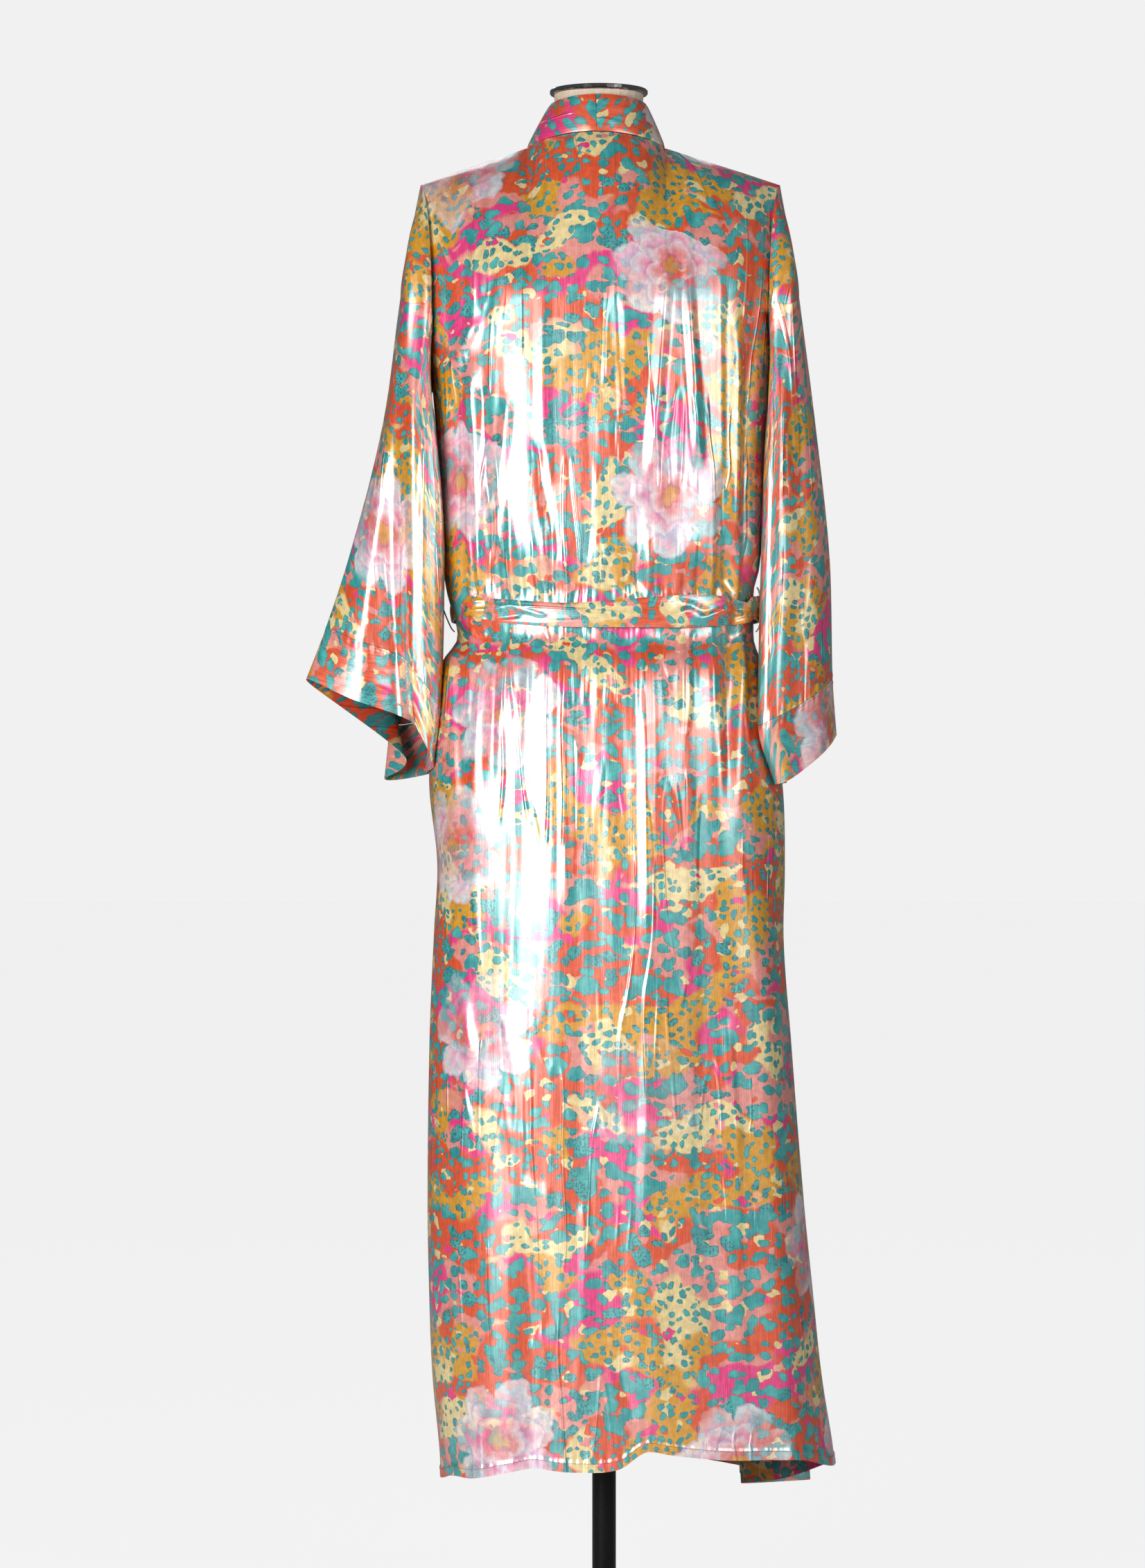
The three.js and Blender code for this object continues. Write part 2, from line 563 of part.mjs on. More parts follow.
// Fronts: columns from the side seam to the seam of the band. lift raises the left front over the right one
function frontEdgePoint(side, z, beyond = 0) {
  const sign = side === 'left' ? 1 : -1;
  const x = sign * (curveAt(FRONT_EDGE, 'z', side, z) - beyond);
  const lift = side === 'left' ? WRAP_LIFT : 0;
  return bodyPoint(frontAngle(x, z), z, lift);
}

function frontColumns(side) {
  const sign = side === 'left' ? 1 : -1;
  const neckSide = side === 'left' ? NECK.x + NECK.halfWidth : NECK.halfWidth - NECK.x;
  const columns = [];
  for (let k = 0; k <= FRONT_COLUMNS; k += 1) {
    const share = k / FRONT_COLUMNS;
    const x = sign * mix(SHOULDER[side].tip[0], neckSide, share);
    const edge = (z) => frontAngle(sign * curveAt(FRONT_EDGE, 'z', side, z), z);
    const start = (z) => (side === 'left' ? 180 - sideAngle(z) + SEAM_ANGLE : 180 + sideAngle(z) - SEAM_ANGLE);
    columns.push({
      share,
      angle: (z) => mix(start(z), edge(z), share),
      yoke: mix(YOKE_SIDE, YOKE_CENTRE, ease(share)),
      top: new THREE.Vector3(x, -SEAM / 2, shoulderHeight(x)),
      round: mix(ROUND_SHOULDER, ROUND_NECK, share ** 3),
    });
  }
  return columns;
}

// How far the right front follows its side fold at a height and a share of its width
function flapWeight(share, z) {
  const down = ease((FLAP_BLEND.top - z) / (FLAP_BLEND.top - FLAP_BLEND.bottom));
  return down * ease((FLAP_BLEND.end + FLAP_BLEND.fade - share) / FLAP_BLEND.fade);
}

function frontPoint(side, column, z) {
  const lift = side === 'left' ? WRAP_LIFT * ease((column.share - WRAP_RISE.start) / WRAP_RISE.width) : 0;
  const place = bodyPoint(column.angle(z), z, lift);
  if (side === 'right') {
    const weight = flapWeight(column.share, z);
    const widthShare = curveAt(BODY, 'z', 'right', z) / BODY[0].right;
    const depthShare = curveAt(BODY, 'z', 'front', z) / BODY[0].front;
    place.x = mix(place.x, curveAt(FLAP, 'share', 'x', column.share) * widthShare, weight);
    place.y = mix(place.y, curveAt(FLAP, 'share', 'y', column.share) * depthShare - SEAM / 2, weight);
  }
  return place;
}

function frontHem(side, column) {
  if (side === 'right') return curveAt(FLAP, 'share', 'hem', column.share);
  return curveAt(FRONT_LEFT_HEM, 'x', 'z', bodyPoint(column.angle(BODY[0].z), BODY[0].z).x);
}

// Last column of a front: its edge at the band's seam, from the hem at share 0 to the neck at share 1
function frontEdgeRow(side, column, row) {
  if (row > LAST_BODY_ROW) {
    const base = frontPoint(side, column, column.yoke);
    return overShoulder(base, column.top, column.round, (row - LAST_BODY_ROW) / YOKE_ROWS);
  }
  return frontPoint(side, column, rowHeight(row, frontHem(side, column), column.yoke));
}

function buildFront(side) {
  const body = frontColumns(side);
  const drop = droppedColumns(side, -1).reverse();
  const all = [...drop, ...body];
  const point = (i, j) => {
    const column = all[i];
    if (!column.base) return frontEdgeRow(side, column, j);
    return overShoulder(column.base, column.top, column.round, Math.max(j - LAST_BODY_ROW, 0) / YOKE_ROWS);
  };
  const missing = (i, j) => j < LAST_BODY_ROW && i < drop.length;
  const keep = (p) => {
    p.y = Math.min(p.y, -SEAM / 2);
  };
  const geometry = clothWall({
    columns: all.length - 1, rows: PANEL_ROWS, point, side: side === 'left' ? 1 : -1, missing, keep,
  });
  addPiece(`front_${side}`, geometry, MATERIALS.panel);
}

// Neckband: one half from the centre back round the neck and down the front edge to the hem
const BAND_ROWS = 2;
const BAND_TURN_COLUMNS = NECK_COLUMNS / 2;
const BAND_ROUND = { x: 0.6, z: 0.92 };

// Point across the band over a row of the front's edge: share 0 is its seam and 1 its free edge
function bandPoint(side, column, row, share) {
  const seamPoint = frontEdgeRow(side, column, row);
  if (row <= LAST_BODY_ROW) return frontEdgePoint(side, seamPoint.z, mix(SEAM, BAND_WIDTH, share));
  const up = (row - LAST_BODY_ROW) / YOKE_ROWS;
  const low = frontEdgePoint(side, YOKE_CENTRE, BAND_WIDTH);
  const high = collarTop(side === 'left' ? 90 : -90);
  const free = overShoulder(low, high, ROUND_NECK, up);
  free.x = mix(low.x, high.x, up ** BAND_ROUND.x);
  free.z = mix(low.z, high.z, up ** BAND_ROUND.z);
  return acrossBand(seamPoint, free, share);
}

function acrossBand(seamPoint, free, share) {
  const start = seamPoint.clone().addScaledVector(free.clone().sub(seamPoint).normalize(), SEAM);
  return start.lerp(free, share);
}

function buildCollar(side) {
  const sign = side === 'left' ? 1 : -1;
  const column = frontColumns(side)[FRONT_COLUMNS];
  const total = BAND_TURN_COLUMNS + PANEL_ROWS;
  const point = (i, j) => {
    if (i >= BAND_TURN_COLUMNS) return bandPoint(side, column, total - i, j / BAND_ROWS);
    const turn = sign * i * 90 / BAND_TURN_COLUMNS;
    const place = acrossBand(neckline(turn), collarTop(turn), j / BAND_ROWS);
    if (i === 0) place.x = NECK.x;
    return place;
  };
  const keep = (p) => {
    if (p.y > 0) p.x = NECK.x + sign * Math.max(sign * (p.x - NECK.x), SEAM / 2);
  };
  const geometry = clothWall({ columns: total, rows: BAND_ROWS, point, side: side === 'left' ? -1 : 1, keep });
  addPiece(`collar_${side}`, geometry, MATERIALS.band);
}

// Sleeves and their cuffs
function buildSleeve(side) {
  const rows = SLEEVE_ROWS + CUFF_ROWS;
  const wall = (seamAlong, beside) => clothWall({
    columns: STATIONS * STEPS_PER_STATION,
    rows,
    point: (i, j) => {
      if (j === SLEEVE_ROWS) return sleevePoint(side, i, seamAlong);
      return sleevePoint(side, i, j < SLEEVE_ROWS ? j / SLEEVE_ROWS : 1 + (j - SLEEVE_ROWS) / CUFF_ROWS);
    },
    closed: true,
    side: side === 'left' ? -1 : 1,
    beside,
  });
  addPiece(`sleeve_${side}`, wall(1, (i, j) => j >= SLEEVE_ROWS), MATERIALS.sleeve);
  addPiece(`cuff_${side}`, wall(1 + CUFF_GAP, (i, j) => j < SLEEVE_ROWS), MATERIALS.band);
}

// Belt: a band round the waist, moved out from the body's points, and further out over the lap of the fronts
function beltHeight(angle) {
  const unit = unitSection(angle, SQUARENESS);
  return mix(unit.y > 0 ? BELT.back : BELT.front, BELT.side, unit.x * unit.x);
}

function beltLift(angle) {
  const fromFront = Math.abs(((angle + 360) % 360) - 180);
  const beside = ease((fromFront - BELT_RISE.start) / BELT_RISE.fade);
  return mix(WRAP_LIFT + CLOTH, 0, beside) + BELT.lift + BELT_THICK;
}

function beltPoint(angle, share) {
  const place = bodyPoint(angle, beltHeight(angle), beltLift(angle));
  place.z += (share - 0.5) * BELT.height;
  return place;
}

function buildBelt() {
  const point = (i, j) => beltPoint(i * 360 / BELT.columns, j / BELT.rows);
  addPiece('belt', clothWall({ columns: BELT.columns, rows: BELT.rows, point, closed: true, side: -1,
    thick: BELT_THICK }), MATERIALS.belt);
}

// Knot and tails on the front
function buildTie() {
  const front = beltPoint(180, 0.5).y;
  const knot = new THREE.SphereGeometry(0.5, KNOT.sides, KNOT.rings);
  knot.deleteAttribute('uv');
  knot.deleteAttribute('normal');
  knot.scale(KNOT.width, KNOT.depth, KNOT.height);
  knot.translate(KNOT.x, front - KNOT.depth / 2 - SEAM, KNOT.z);
  addPiece('belt_knot', mergeVertices(knot, MERGE), MATERIALS.belt);
  for (const side of ['left', 'right']) {
    const top = KNOT.z - KNOT.height / 2 - SEAM;
    const point = (i, j) => {
      const z = mix(top, TAILS[side].end, (j / TAILS.rows) ** TAILS.spread);
      const x = TAILS[side].x + (i - 1) * TAILS.width / 2;
      const lift = mix(TAILS.knotLift, TAILS.lift, ease((top - z) / TAILS.settle));
      return bodyPoint(frontAngle(x, z), z, lift);
    };
    addPiece(`belt_tail_${side}`, clothWall({ columns: 2, rows: TAILS.rows, point, side: 1, thick: BELT_THICK }),
      MATERIALS.belt);
  }
}

// Belt carriers: a narrow strap beside each side seam, bowed out over the belt
function buildLoops() {
  for (const side of ['left', 'right']) {
    const angle = side === 'left' ? LOOP.angle : 360 - LOOP.angle;
    const turn = THREE.MathUtils.radToDeg(LOOP.width / curveAt(BODY, 'z', 'left', BELT.side));
    const point = (i, j) => {
      const share = j / LOOP.rows;
      const height = mix(LOOP.reach, -LOOP.reach, share);
      const out = mix(LOOP.root, beltLift(angle) + LOOP.thick + LOOP.bow, Math.sin(Math.PI * share) ** 0.5);
      return bodyPoint(angle + (i - 0.5) * turn, beltHeight(angle) + height, out);
    };
    addPiece(`belt_loop_${side}`, clothWall({ columns: 1, rows: LOOP.rows, point, side: 1, thick: LOOP.thick }),
      MATERIALS.belt);
  }
}

// Dress form: rings from the underside to the top of the neck, closed by a flat face at each end
function buildForm() {
  const positions = [];
  const ring = FORM.map((row) => {
    const points = [];
    for (let i = 0; i < FORM_COLUMNS; i += 1) {
      const unit = unitSection(i * 360 / FORM_COLUMNS, FORM_SQUARENESS);
      points.push(new THREE.Vector3(row.x + row.halfWidth * unit.x,
        unit.y * (unit.y > 0 ? row.back : row.front), row.z));
    }
    return points;
  });
  const triangle = (a, b, c) => [a, b, c].forEach((p) => positions.push(p.x, p.y, p.z));
  for (let j = 0; j + 1 < ring.length; j += 1) {
    for (let i = 0; i < FORM_COLUMNS; i += 1) {
      const next = (i + 1) % FORM_COLUMNS;
      triangle(ring[j][i], ring[j + 1][i], ring[j + 1][next]);
      triangle(ring[j][i], ring[j + 1][next], ring[j][next]);
    }
  }
  for (const [level, flip] of [[0, false], [ring.length - 1, true]]) {
    const centre = new THREE.Vector3(FORM[level].x, 0, FORM[level].z);
    for (let i = 0; i < FORM_COLUMNS; i += 1) {
      const next = (i + 1) % FORM_COLUMNS;
      if (flip) triangle(centre, ring[level][next], ring[level][i]);
      else triangle(centre, ring[level][i], ring[level][next]);
    }
  }
  const geometry = new THREE.BufferGeometry();
  geometry.setAttribute('position', new THREE.Float32BufferAttribute(positions, 3));
  addPiece('form_torso', mergeVertices(geometry, MERGE), MATERIALS.linen);
}

// Turned piece about an upright axis, from a list of radius and height
function turned(profile, sides, x = 0) {
  const geometry = new THREE.LatheGeometry(profile.map(([r, z]) => new THREE.Vector2(r, z)), sides);
  geometry.deleteAttribute('uv');
  geometry.deleteAttribute('normal');
  geometry.rotateX(Math.PI / 2);
  geometry.translate(x, 0, 0);
  return mergeVertices(geometry, MERGE);
}

function buildStand() {
  const capTop = CAP.bottom + CAP.rim;
  addPiece('neck_cap', turned([
    [0, CAP.bottom],
    [CAP.radius - CAP.edge, CAP.bottom],
    [CAP.radius, CAP.bottom + CAP.edge],
    [CAP.radius, capTop - CAP.edge],
    [CAP.radius - CAP.edge, capTop],
    [CAP.radius * CAP.shoulder, capTop + CAP.dome * CAP.rise],
    [0, capTop + CAP.dome],
  ], CAP.sides, CAP.x), MATERIALS.chrome);
  addPiece('pole', turned([
    [0, POLE.bottom], [POLE.radius, POLE.bottom], [POLE.radius, POLE.top], [0, POLE.top],
  ], POLE.sides), MATERIALS.black);
  addPiece('base', turned([
    [0, 0],
    [BASE.radius, 0],
    [BASE.radius, BASE.plate - BASE.edge],
    [BASE.radius - BASE.edge, BASE.plate],
    [BASE.bossRadius + BASE.bossFoot, BASE.plate],
    [BASE.bossRadius, BASE.plate + BASE.bossFoot],
    [BASE.bossRadius, BASE.bossTop - BASE.bossEdge],
    [BASE.bossRadius - BASE.bossEdge, BASE.bossTop],
    [0, BASE.bossTop],
  ], BASE.sides), MATERIALS.black);
}

buildBack();
for (const side of ['left', 'right']) {
  buildFront(side);
  buildCollar(side);
  buildSleeve(side);
}
buildBelt();
buildTie();
buildLoops();
buildForm();
buildStand();

export default robe;
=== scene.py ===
import math

import bpy
import numpy as np
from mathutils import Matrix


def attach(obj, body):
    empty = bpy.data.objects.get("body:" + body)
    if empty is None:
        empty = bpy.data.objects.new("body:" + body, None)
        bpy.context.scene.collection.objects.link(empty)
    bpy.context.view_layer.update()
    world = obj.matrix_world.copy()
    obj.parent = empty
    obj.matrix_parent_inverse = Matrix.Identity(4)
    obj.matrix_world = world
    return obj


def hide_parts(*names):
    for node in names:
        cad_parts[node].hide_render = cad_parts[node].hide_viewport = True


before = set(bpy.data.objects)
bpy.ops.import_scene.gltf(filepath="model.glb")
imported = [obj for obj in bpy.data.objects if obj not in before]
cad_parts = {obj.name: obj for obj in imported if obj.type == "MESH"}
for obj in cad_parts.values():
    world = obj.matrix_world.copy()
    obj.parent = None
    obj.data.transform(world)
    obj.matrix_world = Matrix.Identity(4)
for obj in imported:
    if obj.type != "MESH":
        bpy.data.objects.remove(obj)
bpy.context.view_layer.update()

# The camera's scale is that of the pole in the photograph. Lengths are in millimetres, heights over the floor
CAMERA = {"x": 33.2, "distance": 4700.0, "z": 920.0, "mm_per_px": 0.729, "tall_px": 2263, "sensor": 36.0}
MM = 0.001
SIGN = {"left": 1, "right": -1}

# Sizes of the robe. The solids' cloth is thicker, and their sleeves keep farther from the body
CLOTH = 0.8
SEAM = 0.3
BELT_THICK = 2.5
SLEEVE_CLEAR = 3.0
WRAP_LIFT = 6.0
UNDERARM = 1335.0
ARMHOLE_RUN, YOKE_RUN = 80, 180
YOKE_SIDE = 1412.0
YOKE_CENTRE = 1430.0
NECK_SIDE = 1589.0
NECK_BACK = 1598.5
COLLAR_TOP_SIDE = 1634.0
COLLAR_TOP_BACK = 1638.0
NECK = {"x": 8.5, "half_width": 72.5, "back": 60.0, "front": 60.0}
COLLAR_TOP = {"x": 6.0, "half_width": 50.5, "back": 54.0, "front": 52.0}
BAND_WIDTH = 50.0
SHOULDER = {
    "left": {"tip": (193.0, 1550.0), "end": (211.5, 1447.0)},
    "right": {"tip": (185.0, 1550.0), "end": (203.0, 1447.0)},
}

# Half widths and depths of the body in its clothes, from the lowest height on. Rows of cells are even from ROWS_FROM
LOWEST = 170.0
ROWS_FROM = 300.0
BODY = {
    "z": (170, 215, 300, 390, 480, 650, 770, 830, 925, 1000, 1045, 1075, 1120, 1146, 1200, 1250, 1330, 1430),
    "left": (171, 172.5, 180.5, 184, 185.5, 183.5, 178.5, 175, 184, 176, 172, 154, 165, 169, 172, 174, 180, 190),
    "right": (247, 242, 228.5, 219, 210, 196.5, 188.5, 190, 187, 172, 166, 157, 157, 163, 168, 169, 173, 181),
    "back": (130, 128, 125, 122, 120, 119, 119, 118, 116, 111, 104, 92, 92, 100, 103, 104, 105, 101),
    "front": (147, 145, 140, 136, 132, 127, 122, 120, 117, 114, 110, 102, 103, 112, 122, 128, 126, 112),
}
SQUARENESS = 2.4

# Folds seen from behind: x, lean, top, bottom, fade at the top, fade at the bottom, half width, height
BACK_FOLDS = (
    (142, -0.02, 1340, 1120, 90, 12, 11, -5), (120, 0, 1250, 1120, 70, 12, 12, -6),
    (131, 0, 1240, 1120, 70, 12, 9, 3), (-129, 0, 1200, 1120, 60, 12, 12, -6),
    (-30, 0.02, 1210, 1120, 70, 12, 14, -3), (-84, 0.06, 1462, 1230, 60, 60, 9, 5),
    (118, -0.2, 1480, 1360, 40, 40, 12, 4), (92, 0, 1440, 1120, 120, 60, 50, 3),
    (148, 0.03, 1086, 820, 10, 190, 11, -6), (121, 0.03, 1086, 860, 10, 160, 11, -5),
    (136, -0.01, 1070, 700, 90, 240, 54, 9), (24, 0, 1050, 300, 120, 260, 34, -2),
    (-46, 0, 1070, 240, 120, 80, 34, 3), (-100, 0.02, 1040, 240, 120, 120, 30, -5),
    (-134, -0.03, 1086, 850, 10, 160, 11, -6), (-150, 0.06, 900, 200, 200, 20, 36, 8),
    (118, 0, 620, 180, 260, 20, 40, 6), (74, 0, 560, 180, 260, 20, 26, -7),
)
FRONT_FOLDS = (
    (128, 0, 1260, 1120, 80, 12, 14, -5), (96, 0, 1230, 1120, 70, 12, 13, -4),
    (-128, 0, 1270, 1120, 80, 12, 14, -5), (-92, 0, 1240, 1120, 70, 12, 13, -4),
    (132, 0.02, 1086, 800, 10, 180, 14, -6), (150, -0.03, 1010, 820, 80, 90, 22, 5),
    (104, -0.01, 1060, 190, 120, 60, 34, 6), (-118, 0.02, 1086, 760, 10, 200, 14, -6),
)
FOLD_SIDE = 0.35

# Heights of the hems, the edges of the fronts, and the right front's lower corner, which is folded back: shares
# of its width, where they are at the hem, and the hem's height
BACK_HEM = {
    "x": (-243, -205, -132, -72, -47, -14, 30, 72, 94, 134, 158, 173),
    "z": (208, 222, 225.5, 232, 236, 218, 215, 217.5, 214, 204, 202, 192),
}
FRONT_LEFT_HEM = {"x": (-120, 0, 120, 173), "z": (203, 199, 196, 191)}
FRONT_EDGE = {
    "z": (170, 900, 1095, 1250, 1430),
    "left": (-62, -20, 8, 38, 62),
    "right": (-60, -34, -6, 24, 48),
}
FLAP = {
    "share": (0, 0.1, 0.2, 0.31, 0.42, 0.56, 0.72, 0.85, 1),
    "x": (-243, -192, -147, -186, -222, -182, -112, -32, 60),
    "y": (0, -36, -70, -90, -106, -130, -132, -132, -132),
    "hem": (207, 184, 173.5, 172, 172, 176, 194, 202, 200),
}
FLAP_TOP, FLAP_BOTTOM, FLAP_END, FLAP_FADE = 960.0, 170.0, 0.56, 0.3

# Angles in degrees round the body of the groove beside it and of the neck, and how round the shoulders are
GROOVE_ANGLE = 68.0
NECK_ANGLE = {"left": 24.0, "right": -20.0}
ROUND_SHOULDER, ROUND_NECK = 1.0, 0.45

# Stations of the sleeves: x and y at the dropped shoulder, the upper arm, the elbow, the wrist and the hem,
# then the heights of the shoulder seam, the cuff's seam and the hem
ARM_UPPER, ARM_ELBOW = 1300.0, 1160.0
SLEEVES = {
    "left": (
        ((214, 0), (232, 2), (267, 5), (292, 8), (312, 10), 1432, 1081, 1028),
        ((210, 40), (225, 42), (246, 44), (256, 44), (262, 42), 1425, 1069, 1008),
        ((203, 58), (213, 56), (218, 46), (216, 36), (213, 34), 1419, 1056, 991),
        ((179.5, 52), (196, 72), (196, 74), (199, 64), (196, 57), 1412, 1040, 979),
        ((186.5, 0), (177, 52), (167, 56), (171, 52), (177, 48), 1336, 1000, 938),
        ((181.5, -54), (186, -40), (180, -40), (182, -44), (188, -46), 1398, 990, 930),
        ((200, -60), (206, -60), (214, -56), (226, -50), (233, -44), 1414, 984, 925),
        ((210, -40), (224, -40), (240, -36), (226, -24), (213, -14), 1424, 1012, 951),
    ),
    "right": (
        ((205, 0), (222, 0), (237, 2), (240, 6), (244, 8), 1432, 1030, 971),
        ((201, 40), (213, 44), (224, 46), (226, 48), (228, 46), 1425, 1018, 952),
        ((193, 58), (198, 60), (204, 62), (200, 68), (202, 62), 1419, 1001, 931),
        ((171.5, 52), (181, 73), (179, 76), (175, 82), (187, 70), 1412, 988, 922),
        ((179.5, 0), (169, 52), (163, 58), (159, 66), (176, 52), 1336, 980, 920),
        ((173, -54), (177, -40), (174, -38), (176, -20), (183, -18), 1398, 982, 925),
        ((191, -60), (197, -60), (202, -54), (206, -46), (209, -40), 1414, 1000, 944),
        ((201, -40), (214, -40), (230, -34), (234, -28), (236, -24), 1424, 1020, 962),
    ),
}
STATIONS = 8
DROP_STATION = {1: 3.0, -1: 2.0}
CUFF_GAP = 0.006

BELT = {"height": 28.0, "lift": 4.0, "back": 1094.0, "side": 1104.0, "front": 1096.0, "waist": 1076.0}
BELT_SHAPE = {"over_wrap": 1.5, "knot_angle": 20, "fade_angle": 70, "behind": 30, "roll": 1.4}
BELT_WAVE = {"height": 0.35, "across": 2.4, "degrees": 19.0}
BELT_EDGES = {
    "x": (-156, -150, -129, -96, -52, 10, 40, 57, 90, 114, 137, 152),
    "top": (1116, 1109, 1114, 1115.5, 1113, 1108, 1107, 1107.5, 1110, 1112, 1115, 1117),
    "bottom": (1092, 1088, 1085, 1082, 1081.5, 1081.5, 1082, 1082.5, 1085, 1088.5, 1094, 1095),
}
# Crumples of the belt: x and share of its height at both ends, half width and height
BELT_CREASES = (
    (150, 0.1, 96, 0.75, 5, 2.4), (150, 0.6, 120, 0.95, 4, 1.8), (128, 0.0, 84, 0.45, 5, -1.8),
    (100, 0.8, 60, 0.4, 4, 1.4), (60, 0.2, -20, 0.28, 4, 1.0), (20, 0.7, -60, 0.6, 4, -1.2),
    (-48, 0.1, -92, 0.6, 4, 1.6), (-70, 0.9, -110, 0.4, 5, -1.6), (-96, 0.2, -150, 0.8, 5, 2.4),
    (-120, 0.1, -152, 0.45, 4, -1.8),
)
COLLAR = {"columns": 13, "lead_x": 0.6, "lead_z": 0.92, "swell": 1.2, "round": 0.4, "thick": 1.4}
KNOT = {"x": -8.0, "width": 46.0, "height": 40.0, "depth": 22.0, "z": 1096.0, "ends": 0.985, "lumps": 0.05,
        "within": (0.97, 0.95)}
TAILS = {"left": (8.0, 650.0), "right": (-24.0, 600.0)}
TAIL = {"width": 30.0, "lift": 14.0, "knot_lift": 26.0, "settle": 130.0, "wave": (0.8, 31.0, 9.0)}
LOOP = {"width": 5.0, "thick": 1.2, "angle": 97.0, "reach": 24.0, "root": 4.2, "bow": 2.0, "waist": 151}

# Small pleats that the belt gathers over and under it: x, length, half width and height
PLEATS_OVER = (
    (-148, 92, 7, -3.2), (-139, 60, 5, 2.0), (-121, 118, 6, -2.8), (-112, 70, 5, 2.2), (-97, 55, 5, -1.8),
    (-76, 84, 6, 1.9), (-61, 46, 5, -1.6), (-47, 98, 6, 1.8), (-22, 62, 5, -1.7), (-12, 40, 5, 1.4), (9, 74, 5, 1.8),
    (24, 50, 5, -1.5), (41, 66, 6, 1.6), (56, 110, 5, -2.4), (70, 58, 5, 1.9), (88, 88, 6, -2.0), (99, 130, 6, 2.6),
    (111, 76, 5, -2.6), (127, 140, 5, 2.2), (138, 96, 6, -3.0), (146, 180, 5, 2.4),
)
PLEATS_UNDER = (
    (-150, 210, 7, -3.4), (-141, 120, 5, 2.4), (-124, 170, 6, -3.0), (-111, 130, 5, 2.2), (-92, 96, 6, -2.2),
    (-79, 150, 5, 1.8), (-58, 110, 6, -1.8), (-36, 140, 5, 2.0), (-25, 90, 5, -1.6), (-8, 100, 6, 1.5),
    (14, 130, 6, -1.8), (29, 80, 5, 1.6), (47, 120, 6, -2.0), (62, 90, 5, 1.8), (79, 150, 6, -1.9), (96, 110, 5, 2.0),
    (110, 190, 6, -3.0), (119, 150, 5, 2.6), (131, 230, 6, -3.4), (140, 160, 5, 2.6), (149, 120, 6, -3.0),
)
PLEAT_EDGE = {"over": 1108.0, "under": 1082.0}
PLEAT_LEAN = {"over": 0.012, "under": -0.01, "per": 40}
PLEAT_FADE = {"over": 0.7, "under": 0.8, "belt": 10.0}
PLEATS_IN_FRONT = 0.8

# Pressed creases of the back: x and z at both ends, half width and height
BACK_CREASES = (
    (99, 1314, 112, 1200, 9, 2.8), (112, 1200, 118, 1117, 6, 2.2), (69, 1268, 57, 1182, 9, -3.2),
    (57, 1182, 53, 1150, 7, -2.6), (9, 1177, 0, 1131, 5, 1.5), (-31, 1210, -34, 1114, 9, -3.2),
    (-122, 1240, -127, 1120, 10, -3.8), (137, 1342, 140, 1257, 10, 3.6), (140, 1257, 146, 1150, 10, 3.6),
    (127, 1330, 120, 1160, 10, -3.8), (-138, 1400, -135, 1180, 11, 4.2), (-149, 1380, -146, 1150, 10, -4.4),
    (154, 1330, 153, 1160, 10, -4.2), (1, 1522, -11, 1448, 8, -2.6), (-11, 1448, -14, 1354, 8, -2.2),
    (-14, 1354, -18, 1303, 5, -0.9), (43, 1526, -7, 1443, 9, 3.4), (-47, 1529, -27, 1462, 8, 2.6),
    (-64, 1456, -48, 1240, 10, 4.4), (-83, 1491, -77, 1436, 8, 3.0), (107, 1501, 137, 1415, 10, 3.2),
    (84, 1504, 137, 1393, 10, -3.4), (137, 1393, 158, 1351, 9, 3.2), (23, 560, -72, 562, 8, 2.2),
    (83, 508, 55, 492, 8, 2.6), (-54, 501, -82, 517, 8, 2.4), (107, 566, 74, 553, 9, 1.0),
    (-118, 559, -142, 565, 8, 2.2), (-125, 675, -137, 529, 8, 2.4), (-45, 650, -39, 443, 9, 2.0),
    (22, 486, 20, 419, 8, 2.2), (150, 711, 134, 632, 8, 2.4), (-96, 470, -120, 420, 9, 2.4),
    (60, 360, 92, 318, 9, 2.4), (-12, 330, -30, 268, 9, -2.2), (40, 1072, 40, 790, 9, 2.4),
    (-41, 1078, -44, 760, 9, 2.6), (-30, 1150, -34, 1240, 7, 1.4), (90, 1080, 96, 700, 9, 1.6),
    (64, 1420, 62, 1130, 10, 1.6), (-118, 1470, -122, 1190, 8, 1.2), (140, 700, 150, 330, 12, 1.6),
    (-120, 640, -140, 300, 14, 2.0), (-60, 470, -52, 260, 12, 1.6), (20, 420, 30, 260, 12, 1.2),
)

# How fast a crease starts and ends, as slope and first share
CREASE_START, CREASE_END = (6, 0.5), (4, 0.3)

# Soft ripples: the first wave's value, and what each next wave adds to it
RIPPLES = {"width": (18.0, 11.0), "drift": (150.0, 37.0), "swell": (110.0, 29.0), "height": (0.35, 0.13)}
RIPPLE = {"waves": 6, "drift": 9.0, "seed_turn": 1.7, "next_turn": 2.399, "drift_turn": 1.3, "swell_turn": 2.1}
BODY_RIPPLE = {"size": 0.3, "back_seed": 1.0, "front_seed": 4.0, "yoke_fade": 80}
SLEEVE_RIPPLE = {"middle": 60.0, "swing": 55.0, "seed": 2.0, "size": 0.45, "armhole": 8, "seam": 14}

